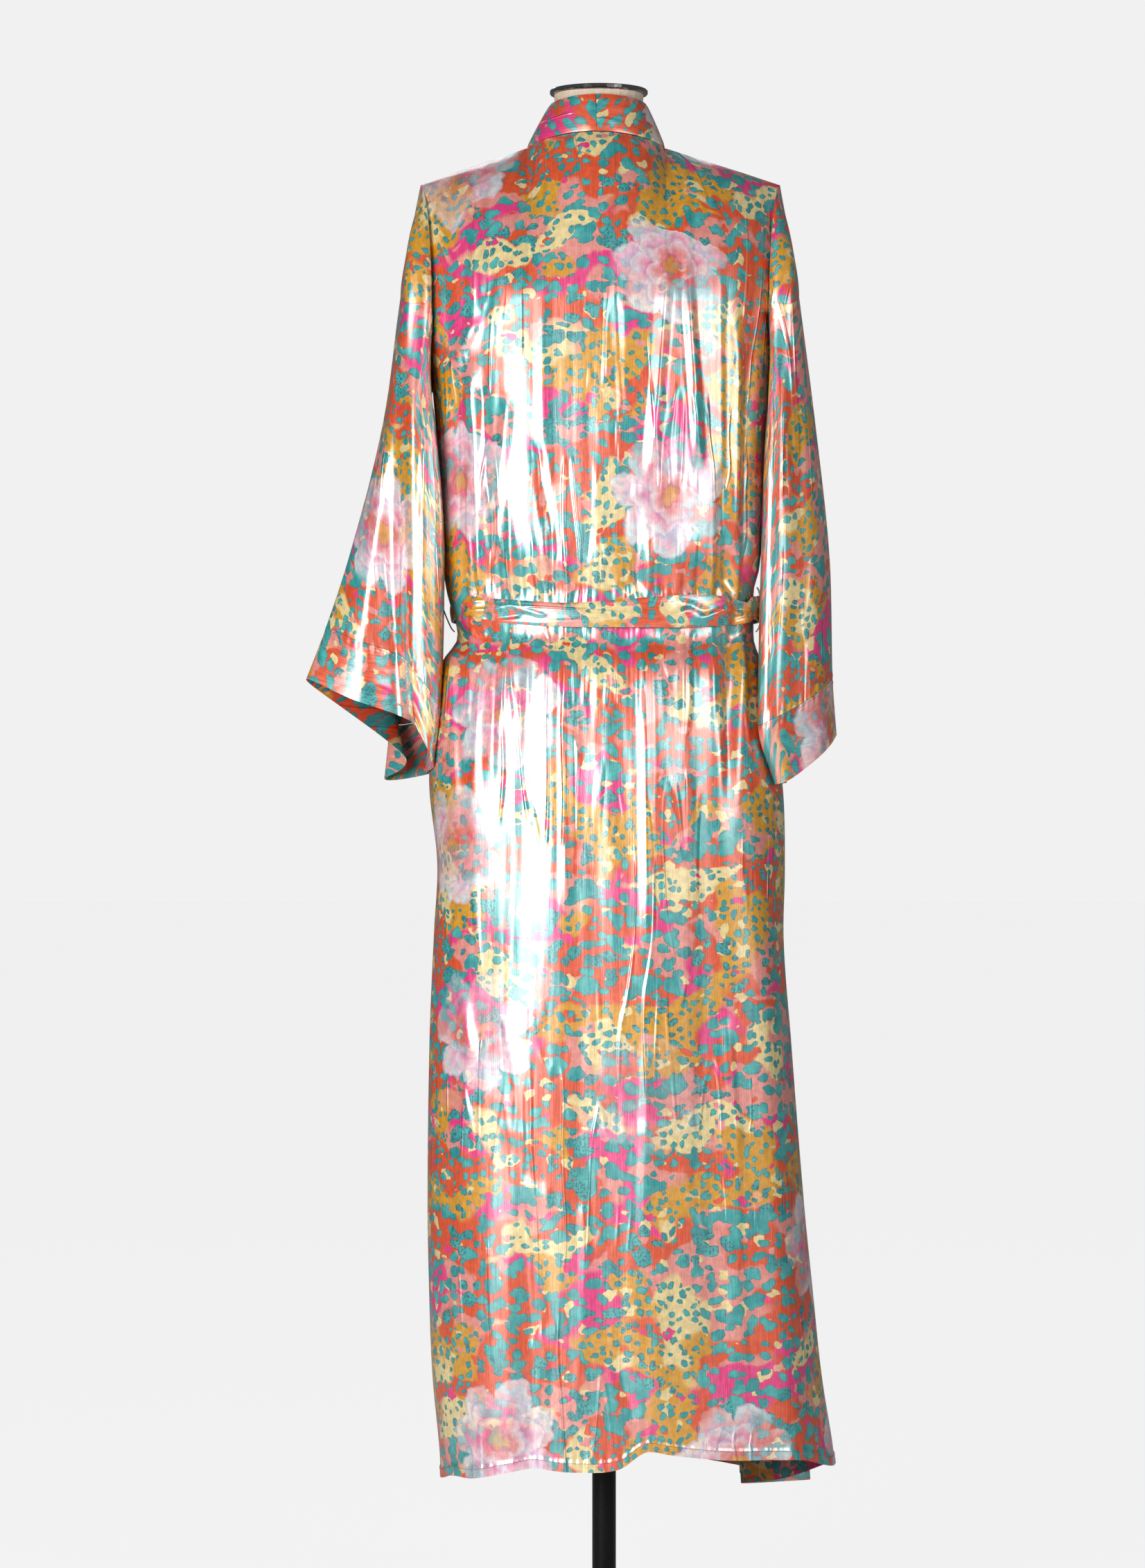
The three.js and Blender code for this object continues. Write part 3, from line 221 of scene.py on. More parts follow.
# Hem, seen in section: height over the edge and how far the turned band stands out
HEM_ROWS = (0.0, 1.5, 5.0, 9.0, 10.2, 11.6, 15.0)
HEM_BLEND = 70
HEM = {"step": 0.7, "top": 11.4, "slope": 1.4, "sewn": 9.0, "reach": 11.0, "pucker": 0.4}
PUCKER = {"length": 8.3, "drift": 1.4, "drift_length": 37.0, "second": 0.6, "second_length": 13.1}
CUFF_PUCKER = {"above": 400.0, "below": 60.0, "reach": 7.0, "size": 0.5, "flat": 2.5}
STITCH = {"pitch": 3.4, "length": 2.4, "width": 0.55, "height": 0.3}
STITCHED_ROW = 3
TACKS = {"x": (31.8, -23.2), "rows": 4}

# Neckline of the back under the band: how deep the last rows sink, and the small tucks below them
NECK_SINK = (-0.7, -1.6)
TUCKS = {"turn": 1.9, "uneven": 0.6, "length": 5.0, "rows": (0.15, 0.4, 0.6, 0.5)}

# Edges sharper than this many degrees stay sharp, and the share round a sleeve where the print's middle is
SHARP_ANGLE = 50
SLEEVE_MIDDLE = 0.82
THICK = {"cuff": 1.3, "tail": 1.6, "knot": 1.2}


def stacked(*columns):
    """Points from their coordinates, some of which may be single numbers."""
    return np.stack(np.broadcast_arrays(*columns), axis=-1)


def unit(vectors):
    return vectors / np.maximum(np.linalg.norm(vectors, axis=-1, keepdims=True), 1e-9)


def curve_at(table, key, column, value):
    """Values of a table's column, on a smooth curve through the rows that never swings past them."""
    place, level = np.asarray(table[key], float), np.asarray(table[column], float)
    value = np.clip(np.asarray(value, float), place[0], place[-1])
    k = np.clip(np.searchsorted(place, value, side="right") - 1, 0, len(place) - 2)
    step = np.diff(level)
    slope = np.empty(len(place))
    slope[0], slope[-1] = step[0] / (place[1] - place[0]), step[-1] / (place[-1] - place[-2])
    slope[1:-1] = np.where(step[:-1] * step[1:] <= 0, 0.0, (level[2:] - level[:-2]) / (place[2:] - place[:-2]))
    span = place[k + 1] - place[k]
    t = (value - place[k]) / span
    rise = t * t * (3 - 2 * t)
    bend = slope[k] * span * t * (1 - t) ** 2 - slope[k + 1] * span * t * t * (1 - t)
    return level[k] * (1 - rise) + level[k + 1] * rise + bend


def mix(a, b, share):
    return a + (b - a) * share


def ease(share):
    t = np.clip(share, 0.0, 1.0)
    return t * t * (3 - 2 * t)


def unit_section(angle):
    """The point at an angle from the middle of the back on a rounded square of half width 1."""
    x, y = np.sin(np.radians(angle)), np.cos(np.radians(angle))
    size = (np.abs(x) ** SQUARENESS + np.abs(y) ** SQUARENESS) ** (1 / SQUARENESS)
    return x / size, y / size


def reach(z, unit_x, unit_y):
    """Half width and depth of the body on the side that a unit point lies on."""
    width = np.where(unit_x > 0, curve_at(BODY, "z", "left", z), curve_at(BODY, "z", "right", z))
    depth = np.where(unit_y > 0, curve_at(BODY, "z", "back", z), curve_at(BODY, "z", "front", z))
    return width, depth


def front_angle(x, z):
    """The angle in degrees at which the body's front is at x."""
    x = np.asarray(x, float)
    unit_x = x / reach(z, x, -1.0)[0]
    unit_y = (1 - np.abs(unit_x) ** SQUARENESS) ** (1 / SQUARENESS)
    return np.degrees(np.arctan2(unit_x, -unit_y)) % 360


def relief(folds, x, z):
    """Height of rounded folds that fade in and out along their length."""
    height = np.zeros(np.broadcast(x, z).shape)
    for place, lean, top, bottom, fade_top, fade_bottom, width, high in folds:
        across = np.clip((x - place - lean * (z - top)) / width, -1, 1)
        fade = ease((top - z) / fade_top) * ease((z - bottom) / fade_bottom)
        height += high * fade * (0.5 + 0.5 * np.cos(np.pi * across))
    return height


def crease_relief(creases, x, z):
    """Height of creases with a sharp ridge, from point to point."""
    height = np.zeros(np.broadcast(x, z).shape)
    for x0, z0, x1, z1, width, high in creases:
        length = math.hypot(x1 - x0, z1 - z0)
        along = ((x - x0) * (x1 - x0) + (z - z0) * (z1 - z0)) / length ** 2
        off = ((x - x0) * (z1 - z0) - (z - z0) * (x1 - x0)) / length
        fade = (ease(along * CREASE_START[0] + CREASE_START[1])
                * ease((1 - along) * CREASE_END[0] + CREASE_END[1]))
        height += high * fade * np.clip(1 - np.abs(off) / width, 0, 1)
    return height


def ripple(across, along, seed, size):
    """Soft uneven ripples that run along the cloth: waves of several widths with fixed odd phases."""
    total = np.zeros(np.broadcast(across, along).shape)
    for k in range(RIPPLE["waves"]):
        width, drift, swell, height = (first + more * k for first, more in RIPPLES.values())
        turn = seed * RIPPLE["seed_turn"] + k * RIPPLE["next_turn"]
        moved = across + RIPPLE["drift"] * np.sin(along / drift + turn * RIPPLE["drift_turn"])
        strength = 0.5 + 0.5 * np.sin(along / swell + turn * RIPPLE["swell_turn"])
        total += strength * np.sin(2 * np.pi * moved / width + turn) * height
    return size * total


def pleats(x, z):
    """Height of the small pleats over and under the belt."""
    over, under, belt = PLEAT_EDGE["over"], PLEAT_EDGE["under"], PLEAT_FADE["belt"]
    folds = [(place, PLEAT_LEAN["over"] * place / PLEAT_LEAN["per"], over + long, over, PLEAT_FADE["over"] * long,
              belt, wide, high) for place, long, wide, high in PLEATS_OVER]
    folds += [(place, PLEAT_LEAN["under"] * place / PLEAT_LEAN["per"], under, under - long, belt,
               PLEAT_FADE["under"] * long, wide, high) for place, long, wide, high in PLEATS_UNDER]
    return relief(folds, x, z)


def body_point(angle, z, lift=0.0, detail=True):
    """Points of the body in its clothes at angles and heights, with its folds and, in detail, its small ones."""
    unit_x, unit_y = unit_section(angle)
    width, depth = reach(z, unit_x, unit_y)
    x, y = width * unit_x, depth * unit_y
    back = relief(BACK_FOLDS, x, z)
    front = relief(FRONT_FOLDS, x, z)
    if detail:
        small, size = pleats(x, z), BODY_RIPPLE["size"]
        soft = ripple(x, z, BODY_RIPPLE["back_seed"], size) * ease((YOKE_SIDE - z) / BODY_RIPPLE["yoke_fade"])
        back = back + small + crease_relief(BACK_CREASES, x, z) + soft
        front = front + PLEATS_IN_FRONT * small + ripple(x, z, BODY_RIPPLE["front_seed"], size)
    out = lift + np.where(unit_y > 0, back, front) * ease(np.abs(unit_y) / FOLD_SIDE)
    normal_x = np.sign(unit_x) * np.abs(unit_x) ** (SQUARENESS - 1) / width
    normal_y = np.sign(unit_y) * np.abs(unit_y) ** (SQUARENESS - 1) / depth
    out = out / np.hypot(normal_x, normal_y)
    return stacked(x + normal_x * out, y + normal_y * out, z)


def grid_normals(points, side, present):
    """Normals of a grid of points, each the sum of those of the cells round it that are there."""
    cell = np.cross(points[1:, 1:] - points[:-1, :-1], points[1:, :-1] - points[:-1, 1:])
    cell = unit(side * cell) * present[..., None]
    total = np.zeros(points.shape)
    for rows, columns in ((0, 0), (0, 1), (1, 0), (1, 1)):
        total[rows:rows + cell.shape[0], columns:columns + cell.shape[1]] += cell
    return total


def add_thing(name, data):
    """A new object in the scene with this mesh, camera or light."""
    thing = bpy.data.objects.new(name, data)
    bpy.context.collection.objects.link(thing)
    return thing


def add_mesh(name, vertices, faces):
    mesh = bpy.data.meshes.new(name)
    mesh.from_pydata(np.asarray(vertices).tolist(), [], np.asarray(faces).tolist())
    return add_thing(name, mesh)


def along_line(line, run, places):
    return stacked(*(np.interp(places, run, column) for column in line.T))


def stitches(name, lines):
    """Joined dashes of thread that lie on the cloth along lines of points with their normals."""
    vertices, faces = [], []
    for points, normals in lines:
        run = np.concatenate([[0.0], np.cumsum(np.linalg.norm(np.diff(points, axis=0), axis=1))])
        starts = np.arange(STITCH["pitch"], run[-1] - STITCH["pitch"], STITCH["pitch"])
        first, last = (along_line(points, run, starts + more) for more in (0.0, STITCH["length"]))
        up = along_line(normals, run, starts)
        aside = np.cross(up, last - first)
        aside *= STITCH["width"] / 2 / np.linalg.norm(aside, axis=-1, keepdims=True)
        up = up * STITCH["height"]
        for k in range(len(starts)):
            base = len(vertices)
            for end in (first[k], last[k]):
                for share, rise in ((-1, -0.2), (1, -0.2), (0.6, 1), (-0.6, 1)):
                    vertices.append((end + aside[k] * share + up[k] * rise) * MM)
            faces += [[base + c for c in corners] for corners in
                      ((0, 1, 2, 3), (7, 6, 5, 4), (0, 4, 5, 1), (1, 5, 6, 2), (2, 6, 7, 3), (3, 7, 4, 0))]
    thing = add_mesh(name, vertices, faces)
    thing.data.materials.append(MATERIALS["thread"])
    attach(thing, "root")
    return thing


def cloth(name, points, cut, side=1, thick=CLOTH, closed=False, missing=None, beside=None, keep=None,
          turn=(0.0, 0.0, 0.0), out=None, sewn=()):
    """A closed thin wall over a grid of outer points, rows by columns, with the cut's lengths as its UV map.

    side is -1 where the rows and columns run so that the outside is on the other side. missing are cells
    that open the wall, and beside are cells of the piece sewn on. keep moves points that cross a seam.
    turn is the angle in degrees and the place in metres of the cloth's grain, and out is the height that is
    added along the normals. sewn are the rows and columns that lines of stitches follow."""
    rows, columns = points.shape[0] - 1, points.shape[1] - 1
    exists = np.ones((rows, columns), bool) if missing is None else ~missing
    shown = exists if beside is None else exists & ~beside
    normals = grid_normals(points, side, exists)
    if closed:
        normals[:, 0] += normals[:, -1]
        normals[:, -1] = normals[:, 0]
    normals = unit(normals)
    outer = points if out is None else points + normals * out[..., None]
    inner = outer - normals * thick
    if keep is not None:
        outer, inner = keep(outer), keep(inner)

    across = np.zeros((rows + 1, columns + 1))
    across[:, 1:] = np.cumsum(np.linalg.norm(np.diff(points, axis=1), axis=-1), axis=1)
    middle = int(columns * cut.get("middle", 0.5))
    across -= across[:, middle:middle + 1]
    along = np.zeros((rows + 1, columns + 1))
    along[1:] = np.cumsum(np.linalg.norm(np.diff(points, axis=0), axis=-1), axis=0)
    along += points[:1, :, 2] if points[0, middle, 2] < points[-1, middle, 2] else 0
    angle = math.radians(turn[0])
    grain = stacked(turn[1] + MM * (across * math.cos(angle) - along * math.sin(angle)),
                    turn[2] + MM * (across * math.sin(angle) + along * math.cos(angle))).reshape(-1, 2)

    width = columns + 1
    index = np.arange((rows + 1) * width).reshape(rows + 1, width)
    wrapped = index.copy()
    if closed:
        wrapped[:, -1] = wrapped[:, 0]
    count = index.size
    j, i = np.nonzero(shown)
    corners = ((j, i), (j, i + 1), (j + 1, i + 1), (j + 1, i))
    face = np.stack([wrapped[c] for c in corners], axis=1)
    flat = np.stack([index[c] for c in corners], axis=1)
    faces = [face, (face + count)[:, ::-1]]
    shown_cells = len(face)
    flats = [flat, flat[:, ::-1]]
    edges = (((-1, 0), (0, 1)), ((0, 1), (1, 2)), ((1, 0), (2, 3)), ((0, -1), (3, 0)))
    for (dj, di), (a, b) in edges:
        nj, ni = j + dj, i + di
        if closed:
            ni = ni % columns
        inside = (nj >= 0) & (nj < rows) & (ni >= 0) & (ni < columns)
        free = ~inside
        free[inside] = ~shown[nj[inside], ni[inside]]
        rim = np.stack([face[free, b], face[free, a], face[free, a] + count, face[free, b] + count], axis=1)
        faces.append(rim)
        flats.append(np.stack([flat[free, b], flat[free, a], flat[free, a], flat[free, b]], axis=1))
    faces, flats = np.concatenate(faces), np.concatenate(flats)
    if side < 0:
        faces, flats = faces[:, ::-1], flats[:, ::-1]
    used, compact = np.unique(faces, return_inverse=True)
    vertices = np.concatenate([outer.reshape(-1, 3), inner.reshape(-1, 3)])[used] * MM
    piece = add_mesh(name, vertices, compact.reshape(-1, 4))
    mesh = piece.data
    layer = mesh.uv_layers.new(name="cloth")
    layer.data.foreach_set("uv", grain[flats.reshape(-1)].astype(np.float32).reshape(-1))
    mesh.polygons.foreach_set("use_smooth", np.ones(len(mesh.polygons), bool))
    mesh.set_sharp_from_angle(angle=math.radians(SHARP_ANGLE))
    mesh.materials.append(MATERIALS["satin"])
    mesh.materials.append(MATERIALS["satin_reverse"])
    kind = np.zeros(len(mesh.polygons), np.int32)
    kind[shown_cells:2 * shown_cells] = 1
    mesh.polygons.foreach_set("material_index", kind)
    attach(piece, "root")
    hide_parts(cut["node"])
    thread = [stitches(f"{name}_stitches", [(outer[at], normals[at]) for at in sewn])] if sewn else []
    return piece


class Nodes:
    """Short way to write the nodes of a material or a world."""

    def __init__(self, owner, shader="BsdfPrincipled", output="OutputMaterial", flat=False):
        self.owner = owner
        self.dimensions = "2D" if flat else "3D"
        owner.use_nodes = True
        self.tree = owner.node_tree
        self.tree.nodes.clear()
        self.shader = self.add(shader)
        self.add(output, {0: self.shader.outputs[0]})

    def put(self, node, inputs):
        for key, value in inputs.items():
            if isinstance(value, bpy.types.NodeSocket):
                self.tree.links.new(value, node.inputs[key])
            else:
                node.inputs[key].default_value = value

    def add(self, kind, inputs=None, **settings):
        made = self.tree.nodes.new("ShaderNode" + kind)
        for key, value in settings.items():
            setattr(made, key, value)
        self.put(made, inputs or {})
        return made

    def value(self, kind, inputs, output=0, **settings):
        return self.add(kind, inputs, **settings).outputs[output]

    def math(self, operation, a, b=0.0, c=0.0):
        return self.value("Math", {0: a, 1: b, 2: c}, operation=operation)

    def times(self, a, b):
        return self.math("MULTIPLY", a, b)

    def minus(self, a, b):
        return self.math("SUBTRACT", a, b)

    def vector(self, operation, a, b):
        return self.value("VectorMath", {0: a, 1: b}, operation=operation)

    def band(self, value, low, high, start=0.0, end=1.0):
        """Smooth step of a value from low to high."""
        inputs = {"Value": value, "From Min": low, "From Max": high, "To Min": start, "To Max": end}
        return self.value("MapRange", inputs, interpolation_type="SMOOTHSTEP")

    def blend(self, factor, a, b, mode="MIX"):
        inputs = {0: factor, 6: a, 7: b}
        return self.value("Mix", inputs, 2, data_type="RGBA", blend_type=mode, clamp_factor=True)

    def noise(self, vector, scale, detail=2.0, rough=0.5, output=0):
        inputs = {"Vector": vector, "Scale": scale, "Detail": detail, "Roughness": rough}
        return self.value("TexNoise", inputs, output, noise_dimensions=self.dimensions)

    def cells(self, vector, scale, randomness):
        return self.add("TexVoronoi", {"Vector": vector, "Scale": scale, "Randomness": randomness},
                        voronoi_dimensions=self.dimensions)

    def stretch(self, vector, x, y, shift=0.0):
        inputs = {"Vector": vector, "Location": (shift, shift * 0.7, 0.0), "Scale": (x, y, 1.0)}
        return self.value("Mapping", inputs)

    def bump(self, height, distance, below=None):
        inputs = {"Height": height, "Distance": distance, "Strength": 1.0}
        return self.value("Bump", inputs if below is None else {**inputs, "Normal": below})


def srgb(red, green, blue):
    """Linear colour of one that is given in 0 to 255."""
    def linear(value):
        value /= 255
        return value / 12.92 if value <= 0.04045 else ((value + 0.055) / 1.055) ** 2.4
    return (linear(red), linear(green), linear(blue), 1.0)


MUSTARD = srgb(222, 158, 8)
CREAM = srgb(240, 218, 152)
CORAL = srgb(230, 78, 8)
SALMON = srgb(236, 148, 136)
PINK = srgb(238, 44, 130)
TEAL = srgb(8, 152, 154)
TEAL_PALE = srgb(62, 182, 178)
TEAL_DARK = srgb(34, 92, 102)
WHITE = srgb(250, 246, 244)
SHADE = srgb(196, 176, 178)
REVERSE = srgb(186, 150, 150)
LILAC = srgb(232, 196, 236)
VIOLET = srgb(176, 120, 190)
BACKDROP = srgb(241, 241, 241)
FLOOR_GREY = srgb(238, 238, 238)

# Rings of a bloom: petals, reach in metres, turn, colour at the edge and at the heart, strength
BLOOM = (
    (7.0, 0.062, 0.3, WHITE, LILAC, 0.78),
    (6.0, 0.045, 1.1, WHITE, PINK, 0.72),
    (5.0, 0.029, 2.0, WHITE, SALMON, 0.75),
    (5.0, 0.012, 0.4, CORAL, MUSTARD, 0.8),
)
# Blooms per metre and how uneven their grid is, then the grain and size in metres of their wobble
BLOOMS = {"per_metre": 5.2, "uneven": 0.7, "grain": 46.0, "wobble": 0.016, "shift": (0.37, 0.21, 0.0)}

# Patches of colour, each over the last: place, grain per metre, level and paint
PATCHES = (
    (2.3, 9.5, 0.48, CORAL), (8.4, 9.0, 0.53, PINK), (11.7, 12.0, 0.57, SALMON),
    (5.9, 8.5, 0.55, MUSTARD), (15.8, 12.0, 0.56, CORAL), (14.2, 13.0, 0.66, CREAM),
)
# Spots: count per metre, least and greatest size, wobble, place and stretch
SPOTS = {
    "islands": (54.0, -0.22, 0.38, 0.85, 7.3, 1.2),
    "many": (60.0, 0.2, 0.45, 0.42, 0.0, 1.3),
    "broad": (38.0, -0.2, 0.42, 0.65, 4.4, 1.4),
    "dots": (90.0, 0.16, 0.38, 0.3, 1.9, 1.1),
}
# Depths in metres of the waves, the pressed lines and the threads of the satin
SATIN_BUMP = {"wide": 0.0011, "ridge": 0.0009, "streak": 0.00007}
SATIN_ROUGH = {False: (0.26, 0.36), True: (0.6, 0.72)}


def spots(n, place, per_metre, small, large, wobble, shift, stretch):
    """Distance in metres past the edge of rounded uneven spots, below zero inside them, and each one's chance."""
    at = n.stretch(place, 1.0 / stretch ** 0.5, stretch ** 0.5, shift)
    cell = n.cells(at, per_metre, 0.8)
    chance = n.add("SeparateColor", {0: cell.outputs["Color"]}).outputs
    size = n.value("MapRange", {"Value": chance[0], "To Min": small, "To Max": large})
    uneven = n.noise(at, per_metre * 1.7, 1.0)
    ragged = n.math("MULTIPLY_ADD", n.minus(uneven, 0.5), wobble, cell.outputs["Distance"])
    past = n.math("DIVIDE", n.minus(ragged, size), per_metre)
    return past, chance[1]


def wash(n, place, colour):
    """Pale watercolour blooms with rings of soft petals, one in some of the cells of a wide uneven grid."""
    cell = n.cells(place, BLOOMS["per_metre"], BLOOMS["uneven"])
    from_centre = n.vector("SUBTRACT", place, cell.outputs["Position"])
    chance = n.add("SeparateColor", {0: cell.outputs["Color"]}).outputs
    wobble = n.times(n.minus(n.noise(place, BLOOMS["grain"]), 0.5), BLOOMS["wobble"])
    away = n.value("VectorMath", {0: from_centre}, "Value", operation="LENGTH")
    radius = n.math("ADD", away, wobble)
    split = n.add("SeparateXYZ", {0: from_centre})
    angle = n.math("ARCTAN2", split.outputs[1], split.outputs[0])
    shown = n.band(chance[1], 0.3, 0.36)
    bloom = colour
    for petals, size, turn, edge_paint, heart_paint, strength in BLOOM:
        turned = n.math("MULTIPLY_ADD", angle, petals / 2, turn)
        wave = n.math("POWER", n.math("ABSOLUTE", n.math("SINE", turned)), 0.6)
        inside = n.minus(n.math("MULTIPLY_ADD", wave, size * 0.3, size * 0.72), radius)
        paint = n.blend(n.band(inside, 0.0, size * 0.5), edge_paint, heart_paint)
        fill = n.band(inside, -0.0012, 0.0012)
        bloom = n.blend(n.times(fill, strength), bloom, paint)
        rim = n.times(fill, n.band(inside, 0.0035, 0.0006))
        bloom = n.blend(n.times(rim, 0.5), bloom, VIOLET)
    cover = n.band(n.noise(place, 15.0), 0.36, 0.62, 0.3, 0.92)
    return n.blend(n.times(shown, cover), colour, bloom)


def satin_print(reverse=False):
    """Foil-sheen satin: animal spots over blurred patches of colour, with pale flowers over them."""
    n = Nodes(bpy.data.materials.new("satin_reverse" if reverse else "satin_print"), flat=True)
    place = n.value("UVMap", {}, uv_map="cloth")
    warp = n.vector("SUBTRACT", n.noise(place, 90.0, output=1), (0.5, 0.5, 0.5))
    smear = n.vector("SUBTRACT", n.noise(place, 26.0, 3.0, output=1), (0.5, 0.5, 0.5))
    shifted = n.vector("ADD", place, n.vector("ADD", n.vector("MULTIPLY", warp, (0.005, 0.005, 0.0)),
                                              n.vector("MULTIPLY", smear, (0.014, 0.014, 0.0))))
    soft_place = n.vector("ADD", place, n.vector("MULTIPLY", smear, (0.03, 0.03, 0.0)))

    colour = n.blend(n.band(n.noise(soft_place, 8.0, 1.0), 0.58, 0.7), SALMON, CREAM)
    quiet = 0.0
    for shift, scale, low, paint in PATCHES:
        field = n.noise(n.stretch(soft_place, 0.85, 1.25, shift), scale, 1.0)
        inside = n.band(field, low - 0.012, low + 0.03)
        colour = n.blend(inside, colour, paint)
        if paint in (MUSTARD, CREAM):
            quiet = n.math("MAXIMUM", quiet, inside)

    islands, kind = spots(n, shifted, *SPOTS["islands"])
    paint = n.blend(n.band(kind, 0.3, 0.32), n.blend(n.band(kind, 0.12, 0.14), PINK, CORAL), CREAM)
    paint = n.blend(n.band(kind, 0.8, 0.82), paint, SALMON)
    colour = n.blend(n.band(islands, 0.0004, -0.0004), colour, paint)
    many, broad, dots = (spots(n, shifted, *SPOTS[name])[0] for name in ("many", "broad", "dots"))
    where = {0: n.minus(1.0, quiet), 2: dots, 3: n.math("MINIMUM", many, broad)}
    spot = n.value("Mix", where, data_type="FLOAT")
    teal = n.blend(n.band(n.noise(place, 40.0, 3.0), 0.35, 0.68), TEAL, TEAL_PALE)
    speck = n.cells(shifted, 330.0, 1.0).outputs[0]
    speckled = n.times(n.band(speck, 0.36, 0.26), n.band(n.noise(place, 17.0, 1.0), 0.55, 0.6))
    teal = n.blend(n.times(speckled, 0.8), teal, TEAL_DARK)
    rim = n.times(n.band(spot, -0.0009, -0.0004), n.band(spot, 0.0005, 0.0))
    colour = n.blend(n.band(spot, 0.0003, -0.0003), colour, teal)
    colour = n.blend(n.times(rim, 0.55), colour, TEAL_DARK)
    colour = wash(n, n.vector("ADD", shifted, BLOOMS["shift"]), colour)

    # Painted highlight: thin white lines mixed into the colour along the satin's vertical streaks; the same streaks
    # also vary its roughness and bump
    streak = n.noise(n.stretch(place, 900.0, 30.0), 1.0, 3.0, 0.6)
    colour = n.blend(n.band(streak, 0.45, 0.8, 0.0, 0.06), colour, WHITE)
    mottle = n.noise(place, 150.0, 3.0, 0.6)
    colour = n.blend(n.band(mottle, 0.7, 0.32, 0.0, 0.38), colour, SHADE, "MULTIPLY")
    if reverse:
        colour = n.blend(0.8, colour, REVERSE, "MULTIPLY")
    else:
        n.put(n.shader, {"Metallic": 0.12, "IOR": 2.4, "Coat Weight": 0.3, "Coat Roughness": 0.16})
    wide = n.noise(n.stretch(place, 42.0, 4.5), 1.0)
    ridge = n.math("ABSOLUTE", n.minus(n.noise(n.stretch(place, 30.0, 3.2, 3.1), 1.0, 1.0), 0.5))
    ridge = n.times(n.band(ridge, 0.05, 0.0), n.band(n.noise(place, 9.0, 1.0), 0.46, 0.6))
    soft = n.bump(ridge, SATIN_BUMP["ridge"], n.bump(wide, SATIN_BUMP["wide"]))
    n.put(n.shader, {"Base Color": colour, "Roughness": n.band(streak, 0.3, 0.75, *SATIN_ROUGH[reverse]),
                     "Normal": n.bump(streak, SATIN_BUMP["streak"], soft), "Coat Normal": soft})
    return n.owner


def plain(name):
    """Nodes of a material that lies in its object's own space, and the place in that."""
    n = Nodes(bpy.data.materials.new(name))
    return n, n.value("TexCoord", {}, "Object")


def linen():
    n, place = plain("linen")
    weft, grain = n.noise(n.stretch(place, 300.0, 300.0), 1.0), n.noise(place, 900.0)
    colour = n.blend(n.band(grain, 0.3, 0.7), srgb(206, 184, 162), srgb(222, 204, 184))
    colour = n.blend(n.band(weft, 0.4, 0.7, 0.0, 0.3), colour, srgb(190, 166, 142))
    n.put(n.shader, {"Base Color": colour, "Roughness": 0.85, "Normal": n.bump(grain, 0.0006)})
    return n.owner


def chrome():
    n, place = plain("chrome")
    smudge = n.noise(place, 60.0, 3.0)
    n.put(n.shader, {"Base Color": srgb(150, 150, 154), "Metallic": 1.0,
                     "Roughness": n.band(smudge, 0.3, 0.8, 0.06, 0.16)})
    return n.owner


def grained(name, grain, colours, rough, depth, constants):
    """A plain material whose grain drives its colour, roughness and bump."""
    n, place = plain(name)
    fine = n.noise(place, *grain)
    n.put(n.shader, {"Base Color": n.blend(fine, *colours), "Roughness": n.band(fine, *rough),
                     "Normal": n.bump(fine, depth), **constants})
    return n.owner


MATERIALS = {"satin": satin_print(), "satin_reverse": satin_print(reverse=True), "linen": linen(),
             "chrome": chrome()}
MATERIALS["thread"] = grained(
    "thread", (2600.0, 1.0), (srgb(168, 112, 106), srgb(124, 76, 74)), (0.3, 0.7, 0.7, 0.85), 0.00008, {})
MATERIALS["black_metal"] = grained("black_metal", (700.0,), (srgb(3, 3, 4), srgb(9, 9, 10)), (0.3, 0.8, 0.3, 0.45),
                                   0.00015, {"Specular IOR Level": 0.2})


def shoulder_height(x):
    tip = np.where(x > 0, SHOULDER["left"]["tip"][0], SHOULDER["right"]["tip"][0])
    start = np.where(x > 0, NECK["half_width"] + NECK["x"], NECK["half_width"] - NECK["x"])
    return mix(NECK_SIDE, SHOULDER["left"]["tip"][1], (np.abs(x) - start) / (tip - start))


def neck_ring(turn, ring, side_z, back_z):
    """Points of a ring round the neck at angles from the middle of the back."""
    x, y = np.sin(np.radians(turn)), np.cos(np.radians(turn))
    depth = np.where(y > 0, ring["back"], ring["front"])
    rise = np.where(y > 0, y * y * (back_z - side_z), 0.0)
    return stacked(ring["x"] + ring["half_width"] * x, y * depth, side_z + rise)


def neckline(turn):
    return neck_ring(turn, NECK, NECK_SIDE, NECK_BACK)


def collar_top(turn):
    return neck_ring(turn, COLLAR_TOP, COLLAR_TOP_SIDE, COLLAR_TOP_BACK)


def over_shoulder(base, top, roundness, share):
    """Points from a base to the shoulder's seam, on a straight line or, the rounder, on a quarter of an oval."""
    turn = share * np.pi / 2
    level = mix(share, 1 - np.cos(turn), roundness)[..., None]
    height = mix(share, np.sin(turn), roundness)
    place = mix(base, top, level)
    place[..., 2] = mix(base[..., 2], top[..., 2], height)
    return place


def clear_of_body(points):
    """The points, moved out to where the sleeves start if they are nearer the body."""
    x, y, z = points[..., 0], points[..., 1], points[..., 2]
    width, depth = reach(z, x, y)
    size = (np.abs(x / (width + SLEEVE_CLEAR)) ** SQUARENESS
            + np.abs(y / (depth + SLEEVE_CLEAR)) ** SQUARENESS) ** (1 / SQUARENESS)
    inside = (size < 1) & (z < UNDERARM)
    scale = np.where(inside, 1 / np.maximum(size, 1e-6), 1.0)
    return stacked(x * scale, y * scale, z)


